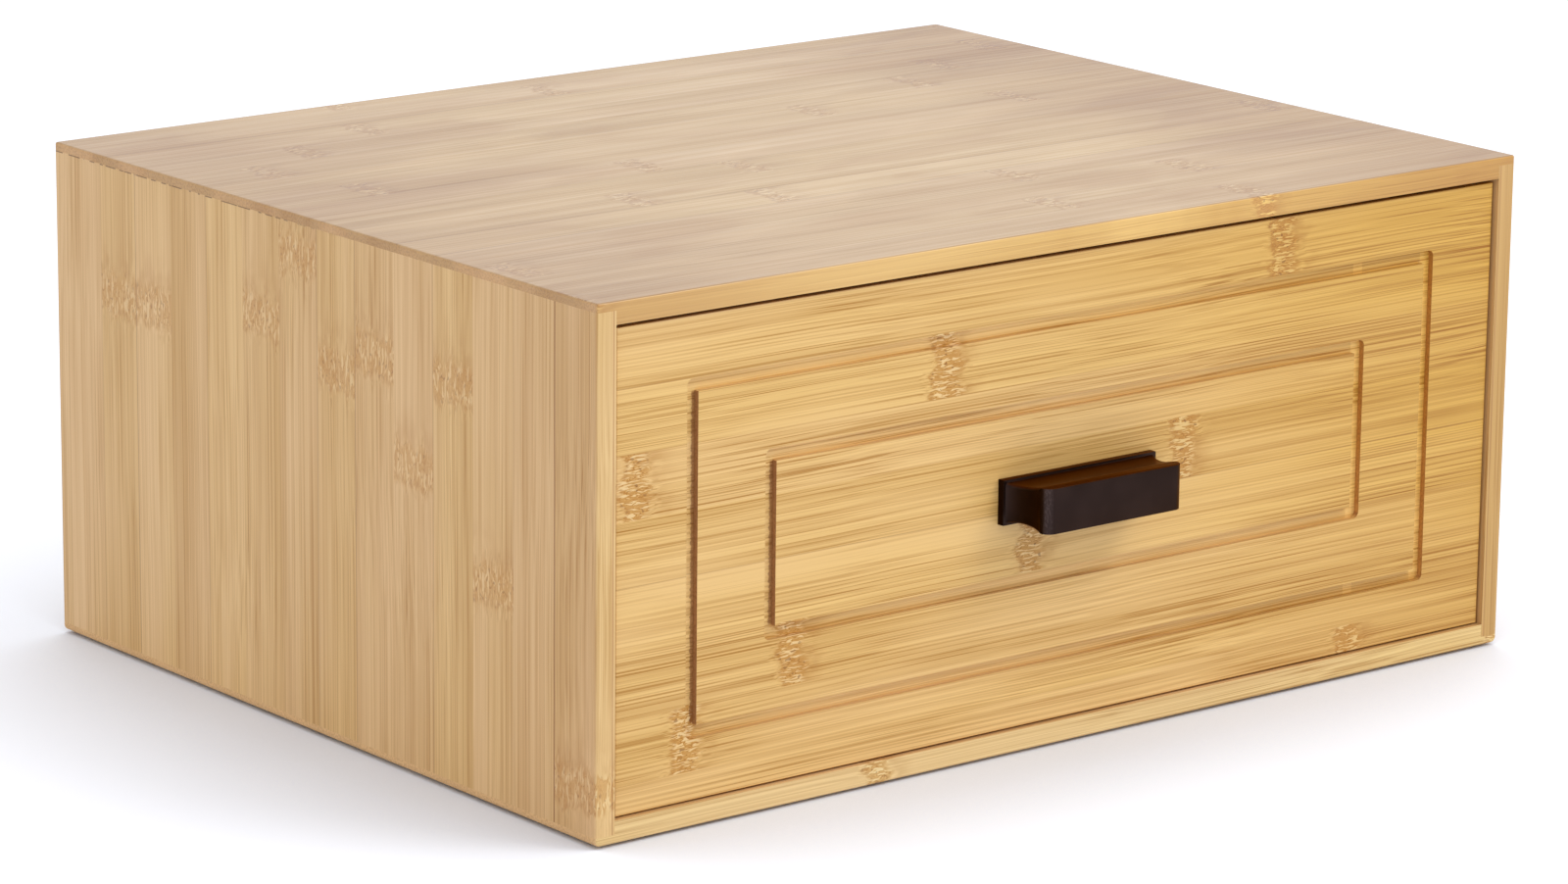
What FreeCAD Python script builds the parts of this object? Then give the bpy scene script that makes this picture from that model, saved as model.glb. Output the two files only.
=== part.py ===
import FreeCAD, Part
import os
import Sketcher

# Bread box with one drawer, in millimetres.
# The frame: origin at the centre of the case's underside, +X to the right, +Y to the back, +Z up.
# The drawer's front faces -Y, and the drawer slides out along -Y.

doc = FreeCAD.newDocument("bread_box")
sheet = doc.addObject("Spreadsheet::Sheet", "sizes")
row_count = 0


def size(alias, number, meaning):
    """Write one driving dimension to the sheet and return the text that expressions use for it."""
    global row_count
    row_count += 1
    sheet.set(f"A{row_count}", meaning)
    sheet.set(f"B{row_count}", str(number))
    sheet.setAlias(f"B{row_count}", alias)
    return f"sizes.{alias}"


# ---------------------------------------------------------------- driving dimensions
case_width = size("case_width", 400, "case, left to right")
case_depth = size("case_depth", 315, "case, front to back")
case_height = size("case_height", 176.5, "case, underside to top")
board = size("board_thickness", 7.6, "boards of the case")
lip = size("lip_thickness", 3, "lip of top and bottom over the ends of the sides")
edge_ease = size("edge_ease", 0.8, "softened edges of the case")
bottom_round = size("bottom_round", 2, "rounded side edges of the bottom")

back_board = size("back_thickness", 5, "back panel")
back_inset = size("back_inset", 6, "back panel, in from the rear edges")
back_groove = size("back_groove_depth", 3.5, "grooves that hold the back panel")
groove_play = size("groove_play", 0.15, "play of a panel in its groove, each side")

foot_diameter = size("foot_diameter", 14, "anti-slip foot")
foot_seat = size("foot_seat_depth", 1, "recess of a foot in the underside")
foot_stand = size("foot_stand", 1, "foot below the underside")
foot_edge = size("foot_edge_distance", 22, "centre of a foot, in from the case's sides")
foot_round = size("foot_round", 0.4, "rounded rim of a foot")

front_board = size("front_thickness", 10, "drawer front")
front_recess = size("front_recess", 1.5, "drawer front, back from the case's front edges")
side_gap = size("side_gap", 1.2, "gap at each end of the drawer front")
top_gap = size("top_gap", 1.4, "gap over the drawer front")
bottom_gap = size("bottom_gap", 0.6, "gap under the drawer front")
front_ease = size("front_ease", 0.5, "softened edges of the drawer front")

line_width = size("line_width", 4.4, "routed line, the width of its cutter")
line_depth = size("line_depth", 2.1, "routed line")
outer_inset_x = size("outer_line_inset_side", 30.2, "middle of the outer line, in from the front's ends")
outer_inset_z = size("outer_line_inset_top", 22.6, "middle of the outer line, in from the front's top")
inner_inset_x = size("inner_line_inset_side", 62, "middle of the inner line, in from the front's ends")
inner_inset_z = size("inner_line_inset_top", 50.1, "middle of the inner line, in from the front's top")

drawer_board = size("drawer_thickness", 8, "sides and back of the drawer box")
drawer_height = size("drawer_side_height", 140, "sides of the drawer box")
drawer_lift = size("drawer_lift", 0.3, "drawer box over the case's floor")
base_board = size("drawer_bottom_thickness", 4, "bottom of the drawer")
base_groove = size("drawer_groove_depth", 4, "grooves that hold the drawer's bottom")
base_rise = size("drawer_groove_rise", 6, "groove over the lower edge of the drawer's sides")
drawer_ease = size("drawer_ease", 1, "softened upper edges of the drawer box")

guide_width = size("guide_width", 4.5, "guide strip, off the case's side")
guide_height = size("guide_height", 14, "guide strip")
guide_play = size("guide_play", 0.5, "drawer box to a guide strip")
guide_margin = size("guide_margin", 4, "guide strip behind the drawer front, and before the stop")
stop_depth = size("stop_depth", 7, "stop block, front to back")
stop_width = size("stop_width", 24, "stop block, left to right")
stop_height = size("stop_height", 14, "stop block")
stop_play = size("stop_play", 0.3, "closed drawer to a stop block")

peg_diameter = size("peg_diameter", 4, "dowel peg")
peg_length = size("peg_length", 22, "dowel peg")
peg_short = size("peg_short_depth", 6, "dowel peg, in the face of a board")
peg_play = size("peg_play", 0.1, "hole round a peg and past each of its ends")
peg_edge = size("peg_edge_distance", 28, "peg, from the upper or lower edge of the drawer box")

foot_plate_length = size("handle_foot_length", 67, "handle, where it meets the drawer front")
foot_plate = size("handle_foot_thickness", 2.8, "handle's foot")
foot_step = size("handle_foot_step", 0.8, "handle's foot, past the start of the neck at each end")
bar_length = size("handle_bar_length", 60, "handle's front bar")
bar_thickness = size("handle_bar_thickness", 4.2, "handle's front bar")
handle_height = size("handle_height", 15.4, "handle, up and down")
handle_reach = size("handle_reach", 21, "handle, out from the drawer front")
handle_drop = size("handle_drop", 0.6, "middle of the handle, below the middle of the drawer front")
neck_side_dip = size("neck_side_dip", 1, "hollow of the neck, left and right")
neck_top_dip = size("neck_top_dip", 1.3, "hollow of the neck, above and below")
neck_low = size("neck_low_distance", 8.5, "lowest place of the neck, behind the front bar")
bar_round = size("bar_corner_radius", 3, "front bar's corners, seen from above")
bar_ease = size("bar_ease", 0.5, "softened edges of the front bar")

screw_spacing = size("screw_spacing", 38, "handle screws, centre to centre")
screw_diameter = size("screw_diameter", 4, "handle screw")
screw_bite = size("screw_bite", 9, "handle screw, inside the handle")
screw_hole_play = size("screw_hole_play", 0.3, "hole round a screw in the drawer front, each side")
thread_play = size("thread_play", 0.05, "tapped hole round a screw, each side")
thread_end = size("thread_end", 1, "tapped hole past the screw's end")
head_diameter = size("screw_head_diameter", 8, "screw head")
head_height = size("screw_head_height", 2.6, "screw head")
head_round = size("screw_head_round", 1.1, "rounded rim of a screw head")
slot_length = size("cross_slot_length", 4.2, "cross recess of a screw head")
slot_width = size("cross_slot_width", 1, "cross recess of a screw head")
slot_depth = size("cross_slot_depth", 1.5, "cross recess of a screw head")
washer_diameter = size("washer_diameter", 11, "washer")
washer_hole = size("washer_hole", 4.4, "washer's hole")
washer_thickness = size("washer_thickness", 0.8, "washer")

doc.recompute()

# ---------------------------------------------------------------- sizes worked out from these
side_height = f"({case_height} - 2 * {lip})"
opening_width = f"({case_width} - 2 * {board})"
back_space_width = f"({opening_width} + 2 * {back_groove})"
back_space_height = f"({case_height} - 2 * {board} + 2 * {back_groove})"
back_front_y = f"({case_depth} - {back_inset} - {back_board})"

front_width = f"({opening_width} - 2 * {side_gap})"
front_height = f"({case_height} - 2 * {board} - {top_gap} - {bottom_gap})"
front_z = f"({board} + {bottom_gap})"
box_front_y = f"({front_recess} + {front_board})"
box_rear_y = f"({back_front_y} - {stop_depth} - {stop_play})"
box_length = f"({box_rear_y} - {box_front_y})"
box_z = f"({board} + {drawer_lift})"
box_inset = f"({board} + {guide_width} + {guide_play})"
box_width = f"({case_width} - 2 * {box_inset})"
inner_width = f"({box_width} - 2 * {drawer_board})"
box_to_front_x = f"({box_inset} - {board} - {side_gap})"
box_to_front_z = f"({box_z} - {front_z})"
base_width = f"({inner_width} + 2 * {base_groove} - 2 * {groove_play})"
base_slot = f"({base_board} + 2 * {groove_play})"
base_length = f"({box_length} - {drawer_board} + 2 * {base_groove} - 2 * {groove_play})"

peg_hole = f"({peg_diameter} + 2 * {peg_play})"
peg_hole_short = f"({peg_short} + {peg_play})"
peg_hole_long = f"({peg_length} - {peg_short} + {peg_play})"
peg_low = peg_edge
peg_high = f"({drawer_height} - {peg_edge})"

front_middle_x = f"({front_width} / 2)"
handle_z = f"({front_height} / 2 - {handle_drop})"
screw_length = f"({front_board} + {washer_thickness} + {screw_bite})"


def value(text):
    """The number, in millimetres, that an expression gives now."""
    return float(sheet.evalExpression(str(text)))


# ---------------------------------------------------------------- helpers
ROUND = "ROUND"
CURVED = "CURVED"
SAME_PLACE = 0.001


def new_body(name, x, y, z):
    """A body with its own corner at x, y, z, measured from the case's left front lower corner."""
    body = doc.addObject("PartDesign::Body", name)
    body.Label = name
    body.setExpression("Placement.Base.x", f"{x} - {case_width} / 2")
    body.setExpression("Placement.Base.y", f"{y} - {case_depth} / 2")
    body.setExpression("Placement.Base.z", f"{z}")
    return body


def new_sketch(body, name, plane, start="0"):
    """A sketch on one of the body's own origin planes, moved along +X, +Y or +Z by start."""
    sketch = body.newObject("Sketcher::SketchObject", name)
    role = {"XY": "XY_Plane", "XZ": "XZ_Plane", "YZ": "YZ_Plane"}[plane]
    support = [part for part in body.Origin.OriginFeatures if part.Role == role][0]
    sketch.AttachmentSupport = [(support, "")]
    sketch.MapMode = "FlatFace"
    sign = "-" if plane == "XZ" else ""
    sketch.setExpression("AttachmentOffset.Base.z", f"{sign}({start})")
    return sketch


def bind(sketch, kind, arguments, text):
    """Add a dimension to a sketch and tie it to an expression."""
    index = sketch.addConstraint(Sketcher.Constraint(kind, *arguments, value(text)))
    sketch.setExpression(f"Constraints[{index}]", str(text))


def draw_rectangle(sketch, x, y, width, height):
    """A rectangle whose lower left corner is at x, y."""
    left, low = value(x), value(y)
    right, high = left + value(width), low + value(height)
    corners = [(left, low), (right, low), (right, high), (left, high)]
    first = sketch.GeometryCount
    for start, end in zip(corners, corners[1:] + corners[:1]):
        sketch.addGeometry(Part.LineSegment(FreeCAD.Vector(*start, 0), FreeCAD.Vector(*end, 0)), False)
    for side in range(4):
        sketch.addConstraint(Sketcher.Constraint("Coincident", first + side, 2, first + (side + 1) % 4, 1))
        turn = "Horizontal" if side % 2 == 0 else "Vertical"
        sketch.addConstraint(Sketcher.Constraint(turn, first + side))
    bind(sketch, "DistanceX", (-1, 1, first, 1), x)
    bind(sketch, "DistanceY", (-1, 1, first, 1), y)
    bind(sketch, "DistanceX", (first, 1, first, 2), width)
    bind(sketch, "DistanceY", (first + 1, 1, first + 1, 2), height)


def draw_circle(sketch, x, y, diameter):
    """A circle about x, y."""
    centre = FreeCAD.Vector(value(x), value(y), 0)
    index = sketch.addGeometry(Part.Circle(centre, FreeCAD.Vector(0, 0, 1), value(diameter) / 2), False)
    bind(sketch, "DistanceX", (-1, 1, index, 3), x)
    bind(sketch, "DistanceY", (-1, 1, index, 3), y)
    bind(sketch, "Diameter", (index,), diameter)


def draw_soft_rectangle(sketch, x, y, width, height, radius):
    """A rectangle with rounded corners whose box has its lower left corner at x, y."""
    left, low, round_off = value(x), value(y), value(radius)
    right, high = left + value(width), low + value(height)
    turns = [(right, low, -90), (right, high, 0), (left, high, 90), (left, low, 180)]
    first = sketch.GeometryCount
    arcs = []
    for corner_x, corner_y, degrees in turns:
        centre_x = corner_x - round_off if corner_x == right else corner_x + round_off
        centre_y = corner_y - round_off if corner_y == high else corner_y + round_off
        circle = Part.Circle(FreeCAD.Vector(centre_x, centre_y, 0), FreeCAD.Vector(0, 0, 1), round_off)
        start = FreeCAD.Units.Quantity(degrees, FreeCAD.Units.Angle).getValueAs("rad").Value
        end = FreeCAD.Units.Quantity(degrees + 90, FreeCAD.Units.Angle).getValueAs("rad").Value
        arcs.append(Part.ArcOfCircle(circle, start, end))
    for arc in arcs:
        sketch.addGeometry(arc, False)
    for arc, following in zip(arcs, arcs[1:] + arcs[:1]):
        sketch.addGeometry(Part.LineSegment(arc.EndPoint, following.StartPoint), False)
    right_line, high_line, left_line, low_line = lines = range(first + len(arcs), first + 2 * len(arcs))
    for side, line in enumerate(lines):
        sketch.addConstraint(Sketcher.Constraint("Tangent", first + side, 2, line, 1))
        sketch.addConstraint(Sketcher.Constraint("Tangent", line, 2, first + (side + 1) % len(arcs), 1))
        turn = "Vertical" if line in (right_line, left_line) else "Horizontal"
        sketch.addConstraint(Sketcher.Constraint(turn, line))
    for side in range(1, len(arcs)):
        sketch.addConstraint(Sketcher.Constraint("Equal", first, first + side))
    bind(sketch, "Radius", (first,), radius)
    bind(sketch, "DistanceX", (-1, 1, left_line, 1), x)
    bind(sketch, "DistanceY", (-1, 1, low_line, 1), y)
    bind(sketch, "DistanceX", (left_line, 1, right_line, 1), width)
    bind(sketch, "DistanceY", (low_line, 1, high_line, 1), height)


def pad(body, name, sketch, length):
    """Grow the sketch along +X, +Y or +Z."""
    feature = body.newObject("PartDesign::Pad", name)
    feature.Profile = sketch
    feature.Reversed = "XZ" in sketch.AttachmentSupport[0][0].Role
    feature.setExpression("Length", length)
    doc.recompute()
    return feature


def cut(body, name, sketch, length):
    """Cut the sketch into the body along +X, +Y or +Z, and make sure that it took wood away."""
    before = body.Shape.Volume
    feature = body.newObject("PartDesign::Pocket", name)
    feature.Profile = sketch
    feature.Reversed = "XZ" not in sketch.AttachmentSupport[0][0].Role
    feature.setExpression("Length", length)
    doc.recompute()
    if not body.Shape.Volume < before:
        raise ValueError(f"{name} cuts nothing")
    return feature


def direction_name(edge):
    """X, Y or Z for a straight edge along that axis, ROUND for a circle, CURVED for anything else."""
    if isinstance(edge.Curve, Part.Circle):
        return ROUND
    if isinstance(edge.Curve, Part.Line):
        parts = [round(abs(part), 3) for part in edge.Curve.Direction]
        if parts.count(0) == 2:
            return "XYZ"[parts.index(1)]
    return CURVED


def ease(body, name, radius, wanted):
    """Round the edges of the body for which wanted, given an edge's middle and direction, is true."""
    base = body.Tip
    edges = enumerate(base.Shape.Edges, 1)
    names = [f"Edge{index}" for index, edge in edges if wanted(edge.CenterOfMass, direction_name(edge))]
    if not names:
        raise ValueError(f"{name} finds no edge")
    feature = body.newObject("PartDesign::Fillet", name)
    feature.Base = (base, names)
    feature.setExpression("Radius", radius)
    doc.recompute()
    return feature


def near(number, text):
    """True where a coordinate is the one that an expression gives."""
    return abs(number - value(text)) < SAME_PLACE


# ---------------------------------------------------------------- case
def make_level_panel(name, z, is_top):
    """Top or bottom of the case: a board whose ends are cut back to a lip over the sides."""
    body = new_body(name, "0", "0", z)
    outline = new_sketch(body, name + "_outline", "XY")
    draw_rectangle(outline, "0", "0", case_width, case_depth)
    pad(body, name + "_board", outline, board)

    tongue_z = "0" if is_top else lip
    ends = new_sketch(body, name + "_ends", "XY", tongue_z)
    draw_rectangle(ends, "0", "0", board, case_depth)
    draw_rectangle(ends, f"{case_width} - {board}", "0", board, case_depth)
    cut(body, name + "_lips", ends, f"{board} - {lip}")

    groove_z = "0" if is_top else f"{board} - {back_groove}"
    slot = new_sketch(body, name + "_slot", "XY", groove_z)
    slot_y = f"{back_front_y} - {groove_play}"
    draw_rectangle(slot, board, slot_y, opening_width, f"{back_board} + 2 * {groove_play}")
    cut(body, name + "_back_groove", slot, back_groove)
    return body


def ease_level_panel(body, outer_z, side_round):
    """Soften the outer edges of the top or bottom: its ends by one radius, front and rear by another."""
    def is_end(middle, along):
        at_end = near(middle.x, "0") or near(middle.x, case_width)
        return along == "Y" and at_end and near(middle.z, outer_z)

    def is_front_or_rear(middle, along):
        at_edge = near(middle.y, "0") or near(middle.y, case_depth)
        return along == "X" and at_edge and near(middle.z, outer_z)

    ease(body, body.Name + "_end_ease", side_round, is_end)
    ease(body, body.Name + "_long_ease", edge_ease, is_front_or_rear)


top_panel = make_level_panel("top_panel", f"{case_height} - {board}", True)
ease_level_panel(top_panel, board, edge_ease)

bottom_panel = make_level_panel("bottom_panel", "0", False)
foot_seats = new_sketch(bottom_panel, "foot_seats", "XY")
foot_places = {
    "front_left_foot": (foot_edge, foot_edge),
    "front_right_foot": (f"{case_width} - {foot_edge}", foot_edge),
    "rear_left_foot": (foot_edge, f"{case_depth} - {foot_edge}"),
    "rear_right_foot": (f"{case_width} - {foot_edge}", f"{case_depth} - {foot_edge}"),
}
for foot_x, foot_y in foot_places.values():
    draw_circle(foot_seats, foot_x, foot_y, f"{foot_diameter} + 2 * {groove_play}")
cut(bottom_panel, "foot_recesses", foot_seats, foot_seat)
ease_level_panel(bottom_panel, "0", bottom_round)


def make_side_panel(name, x, groove_x):
    """Side of the case: stands between the lips, with an upright groove for the back panel."""
    body = new_body(name, x, "0", lip)
    outline = new_sketch(body, name + "_outline", "XY")
    draw_rectangle(outline, "0", "0", board, case_depth)
    pad(body, name + "_board", outline, side_height)
    slot = new_sketch(body, name + "_slot", "XY", f"{board} - {back_groove} - {lip}")
    slot_y = f"{back_front_y} - {groove_play}"
    draw_rectangle(slot, groove_x, slot_y, back_groove, f"{back_board} + 2 * {groove_play}")
    cut(body, name + "_back_groove", slot, back_space_height)
    outer_x = "0" if x == "0" else board

    def is_outer_edge(middle, along):
        at_edge = near(middle.y, "0") or near(middle.y, case_depth)
        return along == "Z" and at_edge and near(middle.x, outer_x)

    ease(body, name + "_ease", edge_ease, is_outer_edge)
    return body


make_side_panel("left_side_panel", "0", f"{board} - {back_groove}")
make_side_panel("right_side_panel", f"{case_width} - {board}", "0")

back_x = f"{board} - {back_groove} + {groove_play}"
back_panel = new_body("back_panel", back_x, back_front_y, back_x)
back_outline = new_sketch(back_panel, "back_outline", "XZ")
back_width = f"{back_space_width} - 2 * {groove_play}"
draw_rectangle(back_outline, "0", "0", back_width, f"{back_space_height} - 2 * {groove_play}")
pad(back_panel, "back_board", back_outline, back_board)


def make_block(name, x, y, z, width, depth, height, radius, wanted):
    """A plain wooden block or strip with the wanted edges softened."""
    body = new_body(name, x, y, z)
    outline = new_sketch(body, name + "_outline", "XY")
    draw_rectangle(outline, "0", "0", width, depth)
    pad(body, name + "_block", outline, height)
    ease(body, name + "_ease", radius, wanted)
    return body


guide_y = f"({box_front_y} + {guide_margin})"
guide_length = f"({back_front_y} - {stop_depth} - {guide_margin} - {guide_y})"
stop_inset = f"({box_inset} + {guide_margin})"
for side in ("left", "right"):
    is_left = side == "left"
    guide_x = board if is_left else f"{case_width} - {board} - {guide_width}"
    inner_edge = guide_width if is_left else "0"
    make_block(
        f"{side}_guide_strip", guide_x, guide_y, board, guide_width, guide_length, guide_height, edge_ease,
        lambda middle, along: along == "Y" and near(middle.z, guide_height) and near(middle.x, inner_edge),
    )
    stop_x = stop_inset if is_left else f"{case_width} - {stop_inset} - {stop_width}"
    make_block(
        f"{side}_stop_block", stop_x, f"{back_front_y} - {stop_depth}", board,
        stop_width, stop_depth, stop_height, edge_ease,
        lambda middle, along: along == "X" and near(middle.z, stop_height) and near(middle.y, "0"),
    )

for foot_name, (foot_x, foot_y) in foot_places.items():
    foot = new_body(foot_name, foot_x, foot_y, f"-{foot_stand}")
    foot_outline = new_sketch(foot, foot_name + "_outline", "XY")
    draw_circle(foot_outline, "0", "0", foot_diameter)
    pad(foot, foot_name + "_disc", foot_outline, f"{foot_stand} + {foot_seat}")
    ease(foot, foot_name + "_rim", foot_round, lambda middle, along: along == ROUND and near(middle.z, "0"))

# ---------------------------------------------------------------- drawer
drawer_front = new_body("drawer_front", f"{board} + {side_gap}", front_recess, front_z)
front_outline = new_sketch(drawer_front, "front_outline", "XZ")
draw_rectangle(front_outline, "0", "0", front_width, front_height)
pad(drawer_front, "front_board", front_outline, front_board)


def is_face_edge(middle, along):
    """The four edges round the visible face of the drawer front."""
    return along in ("X", "Z") and near(middle.y, "0")


ease(drawer_front, "front_ease", front_ease, is_face_edge)

routed = new_sketch(drawer_front, "routed_lines", "XZ")
for inset_x, inset_z in ((outer_inset_x, outer_inset_z), (inner_inset_x, inner_inset_z)):
    cutter = f"({line_width} / 2)"
    draw_soft_rectangle(
        routed, f"{inset_x} - {cutter}", f"{inset_z} - {cutter}",
        f"{front_width} - 2 * ({inset_x} - {cutter})", f"{front_height} - 2 * ({inset_z} - {cutter})", cutter,
    )
    draw_rectangle(
        routed, f"{inset_x} + {cutter}", f"{inset_z} + {cutter}",
        f"{front_width} - 2 * ({inset_x} + {cutter})", f"{front_height} - 2 * ({inset_z} + {cutter})",
    )
cut(drawer_front, "routed_rectangles", routed, line_depth)

front_back_y = f"({front_board} - {base_groove})"
front_slot = new_sketch(drawer_front, "front_slot", "XZ", front_back_y)
slot_x = f"({box_to_front_x} + {drawer_board} - {base_groove})"
slot_z = f"({box_to_front_z} + {base_rise} - {groove_play})"
draw_rectangle(front_slot, slot_x, slot_z, f"{inner_width} + 2 * {base_groove}", base_slot)
cut(drawer_front, "front_groove", front_slot, base_groove)

peg_start = f"({front_board} - {peg_hole_short})"
front_peg_holes = new_sketch(drawer_front, "front_peg_holes", "XZ", peg_start)
for peg_x in (
    f"{box_to_front_x} + {drawer_board} / 2",
    f"{front_width} - {box_to_front_x} - {drawer_board} / 2",
):
    for peg_z in (peg_low, peg_high):
        draw_circle(front_peg_holes, peg_x, f"{box_to_front_z} + {peg_z}", peg_hole)
cut(drawer_front, "front_pegs", front_peg_holes, peg_hole_short)

screw_holes = new_sketch(drawer_front, "screw_holes", "XZ")
for sign in ("-", "+"):
    hole_x = f"{front_middle_x} {sign} {screw_spacing} / 2"
    draw_circle(screw_holes, hole_x, handle_z, f"{screw_diameter} + 2 * {screw_hole_play}")
cut(drawer_front, "screw_holes_cut", screw_holes, front_board)


def make_drawer_side(name, x, inner_x, face_x):
    """Side of the drawer box: groove for the bottom, holes for the pegs at both ends."""
    body = new_body(name, x, box_front_y, box_z)
    outline = new_sketch(body, name + "_outline", "XY")
    draw_rectangle(outline, "0", "0", drawer_board, box_length)
    pad(body, name + "_board", outline, drawer_height)
    slot = new_sketch(body, name + "_slot", "XY", f"{base_rise} - {groove_play}")
    slot_length_y = f"{box_length} - {drawer_board} + {base_groove}"
    draw_rectangle(slot, inner_x, "0", base_groove, slot_length_y)
    cut(body, name + "_groove", slot, base_slot)
    ends = new_sketch(body, name + "_end_holes", "XZ")
    for peg_z in (peg_low, peg_high):
        draw_circle(ends, f"{drawer_board} / 2", peg_z, peg_hole)
    cut(body, name + "_front_pegs", ends, peg_hole_long)
    faces = new_sketch(body, name + "_face_holes", "YZ", face_x)
    for peg_z in (peg_low, peg_high):
        draw_circle(faces, f"{box_length} - {drawer_board} / 2", peg_z, peg_hole)
    cut(body, name + "_back_pegs", faces, peg_hole_short)
    ease(
        body, name + "_ease", drawer_ease,
        lambda middle, along: along == "Y" and near(middle.z, drawer_height),
    )
    return body


make_drawer_side(
    "drawer_left_side", box_inset,
    f"{drawer_board} - {base_groove}", f"{drawer_board} - {peg_hole_short}",
)
make_drawer_side("drawer_right_side", f"{case_width} - {box_inset} - {drawer_board}", "0", "0")

inner_x0 = f"({box_inset} + {drawer_board})"
drawer_back = new_body("drawer_back", inner_x0, f"{box_rear_y} - {drawer_board}", box_z)
back_rect = new_sketch(drawer_back, "drawer_back_outline", "XY")
draw_rectangle(back_rect, "0", "0", inner_width, drawer_board)
pad(drawer_back, "drawer_back_board", back_rect, drawer_height)
back_slot = new_sketch(drawer_back, "drawer_back_slot", "XY", f"{base_rise} - {groove_play}")
draw_rectangle(back_slot, "0", "0", inner_width, base_groove)
cut(drawer_back, "drawer_back_groove", back_slot, base_slot)
for side, start in (("left", "0"), ("right", f"{inner_width} - {peg_hole_long}")):
    holes = new_sketch(drawer_back, f"drawer_back_{side}_holes", "YZ", start)
    for peg_z in (peg_low, peg_high):
        draw_circle(holes, f"{drawer_board} / 2", peg_z, peg_hole)
    cut(drawer_back, f"drawer_back_{side}_pegs", holes, peg_hole_long)
ease(
    drawer_back, "drawer_back_ease", drawer_ease,
    lambda middle, along: along == "X" and near(middle.z, drawer_height),
)

base_x = f"{inner_x0} - {base_groove} + {groove_play}"
base_y = f"{box_front_y} - {base_groove} + {groove_play}"
drawer_bottom = new_body("drawer_bottom", base_x, base_y, f"{box_z} + {base_rise}")
base_outline = new_sketch(drawer_bottom, "drawer_bottom_outline", "XY")
draw_rectangle(base_outline, "0", "0", base_width, base_length)
pad(drawer_bottom, "drawer_bottom_board", base_outline, base_board)


def make_pegs(name, x, y, plane):
    """Two pegs, one over the other, in one corner joint of the drawer box."""
    body = new_body(name, x, y, box_z)
    body.AllowCompound = True
    outline = new_sketch(body, name + "_outline", plane)
    for peg_z in (peg_low, peg_high):
        draw_circle(outline, "0", peg_z, peg_diameter)
    pad(body, name + "_pair", outline, peg_length)
    return body


left_middle = f"{box_inset} + {drawer_board} / 2"
right_middle = f"{case_width} - {box_inset} - {drawer_board} / 2"
back_middle = f"{box_rear_y} - {drawer_board} / 2"
make_pegs("front_left_dowels", left_middle, f"{box_front_y} - {peg_short}", "XZ")
make_pegs("front_right_dowels", right_middle, f"{box_front_y} - {peg_short}", "XZ")
make_pegs("back_left_dowels", f"{inner_x0} - {peg_short}", back_middle, "YZ")
make_pegs("back_right_dowels", f"{case_width} - {inner_x0} + {peg_short} - {peg_length}", back_middle, "YZ")

# ---------------------------------------------------------------- handle and its screws
def draw_outline(sketch, corners, hollows):
    """A closed outline, corners counted with the inside on the left. A hollow side is an arc that dips in."""
    points = [FreeCAD.Vector(value(x), value(y), 0) for x, y in corners]
    count = len(corners)
    first = sketch.GeometryCount
    for index, hollow in enumerate(hollows):
        start, end = points[index], points[(index + 1) % count]
        if hollow is None:
            sketch.addGeometry(Part.LineSegment(start, end), False)
            continue
        chord = end - start
        inward = FreeCAD.Vector(-chord.y, chord.x, 0).normalize()
        # An arc is stored anticlockwise, so a hollow one is drawn from its end back to its start.
        sketch.addGeometry(Part.Arc(end, (start + end) / 2 + inward * value(hollow), start), False)
    starts = [1 if hollow is None else 2 for hollow in hollows]
    ends = [2 if hollow is None else 1 for hollow in hollows]
    for index in range(count):
        following = (index + 1) % count
        joint = (first + index, ends[index], first + following, starts[following])
        sketch.addConstraint(Sketcher.Constraint("Coincident", *joint))
    for index, (x, y) in enumerate(corners):
        bind(sketch, "DistanceX", (-1, 1, first + index, starts[index]), x)
        bind(sketch, "DistanceY", (-1, 1, first + index, starts[index]), y)
    for index, hollow in enumerate(hollows):
        if hollow is not None:
            (x0, y0), (x1, y1) = corners[index], corners[(index + 1) % count]
            half_chord_squared = f"((({x1}) - ({x0}))^2 + (({y1}) - ({y0}))^2) / 4"
            radius = f"({half_chord_squared} + {hollow}^2) / (2 * {hollow})"
            bind(sketch, "Radius", (first + index,), radius)


handle_left = f"({case_width} / 2 - {foot_plate_length} / 2)"
handle_front = f"({front_recess} - {handle_reach})"
handle_low = f"({front_z} + {handle_z} - {handle_height} / 2)"
handle = new_body("handle", handle_left, handle_front, handle_low)

bar_left = f"(({foot_plate_length} - {bar_length}) / 2)"
bar_right = f"({foot_plate_length} - {bar_left})"
neck_rear = f"({handle_reach} - {foot_plate})"
neck_right = f"({foot_plate_length} - {foot_step})"
plan = new_sketch(handle, "handle_plan", "XY")
draw_outline(
    plan,
    [
        (bar_left, "0"), (bar_right, "0"), (bar_right, bar_thickness), (neck_right, neck_rear),
        (neck_right, handle_reach), (foot_step, handle_reach), (foot_step, neck_rear), (bar_left, bar_thickness),
    ],
    [None, None, neck_side_dip, None, None, None, neck_side_dip, None],
)
pad(handle, "handle_block", plan, handle_height)

channel_radius = f"(({neck_low}^2 + {neck_top_dip}^2) / (2 * {neck_top_dip}))"
channel_y = f"({bar_thickness} + {neck_low})"
for level, channel_z in (
    ("upper", f"({handle_height} + {channel_radius} - {neck_top_dip})"),
    ("lower", f"({neck_top_dip} - {channel_radius})"),
):
    channel = new_sketch(handle, f"{level}_channel", "YZ")
    draw_circle(channel, channel_y, channel_z, f"2 * {channel_radius}")
    cut(handle, f"{level}_finger_channel", channel, foot_plate_length)

foot = new_sketch(handle, "handle_foot_outline", "XY")
draw_rectangle(foot, "0", neck_rear, foot_plate_length, foot_plate)
pad(handle, "handle_foot", foot, handle_height)
ease(handle, "bar_corners", bar_round, lambda middle, along: along == "Z" and near(middle.y, "0"))


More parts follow.
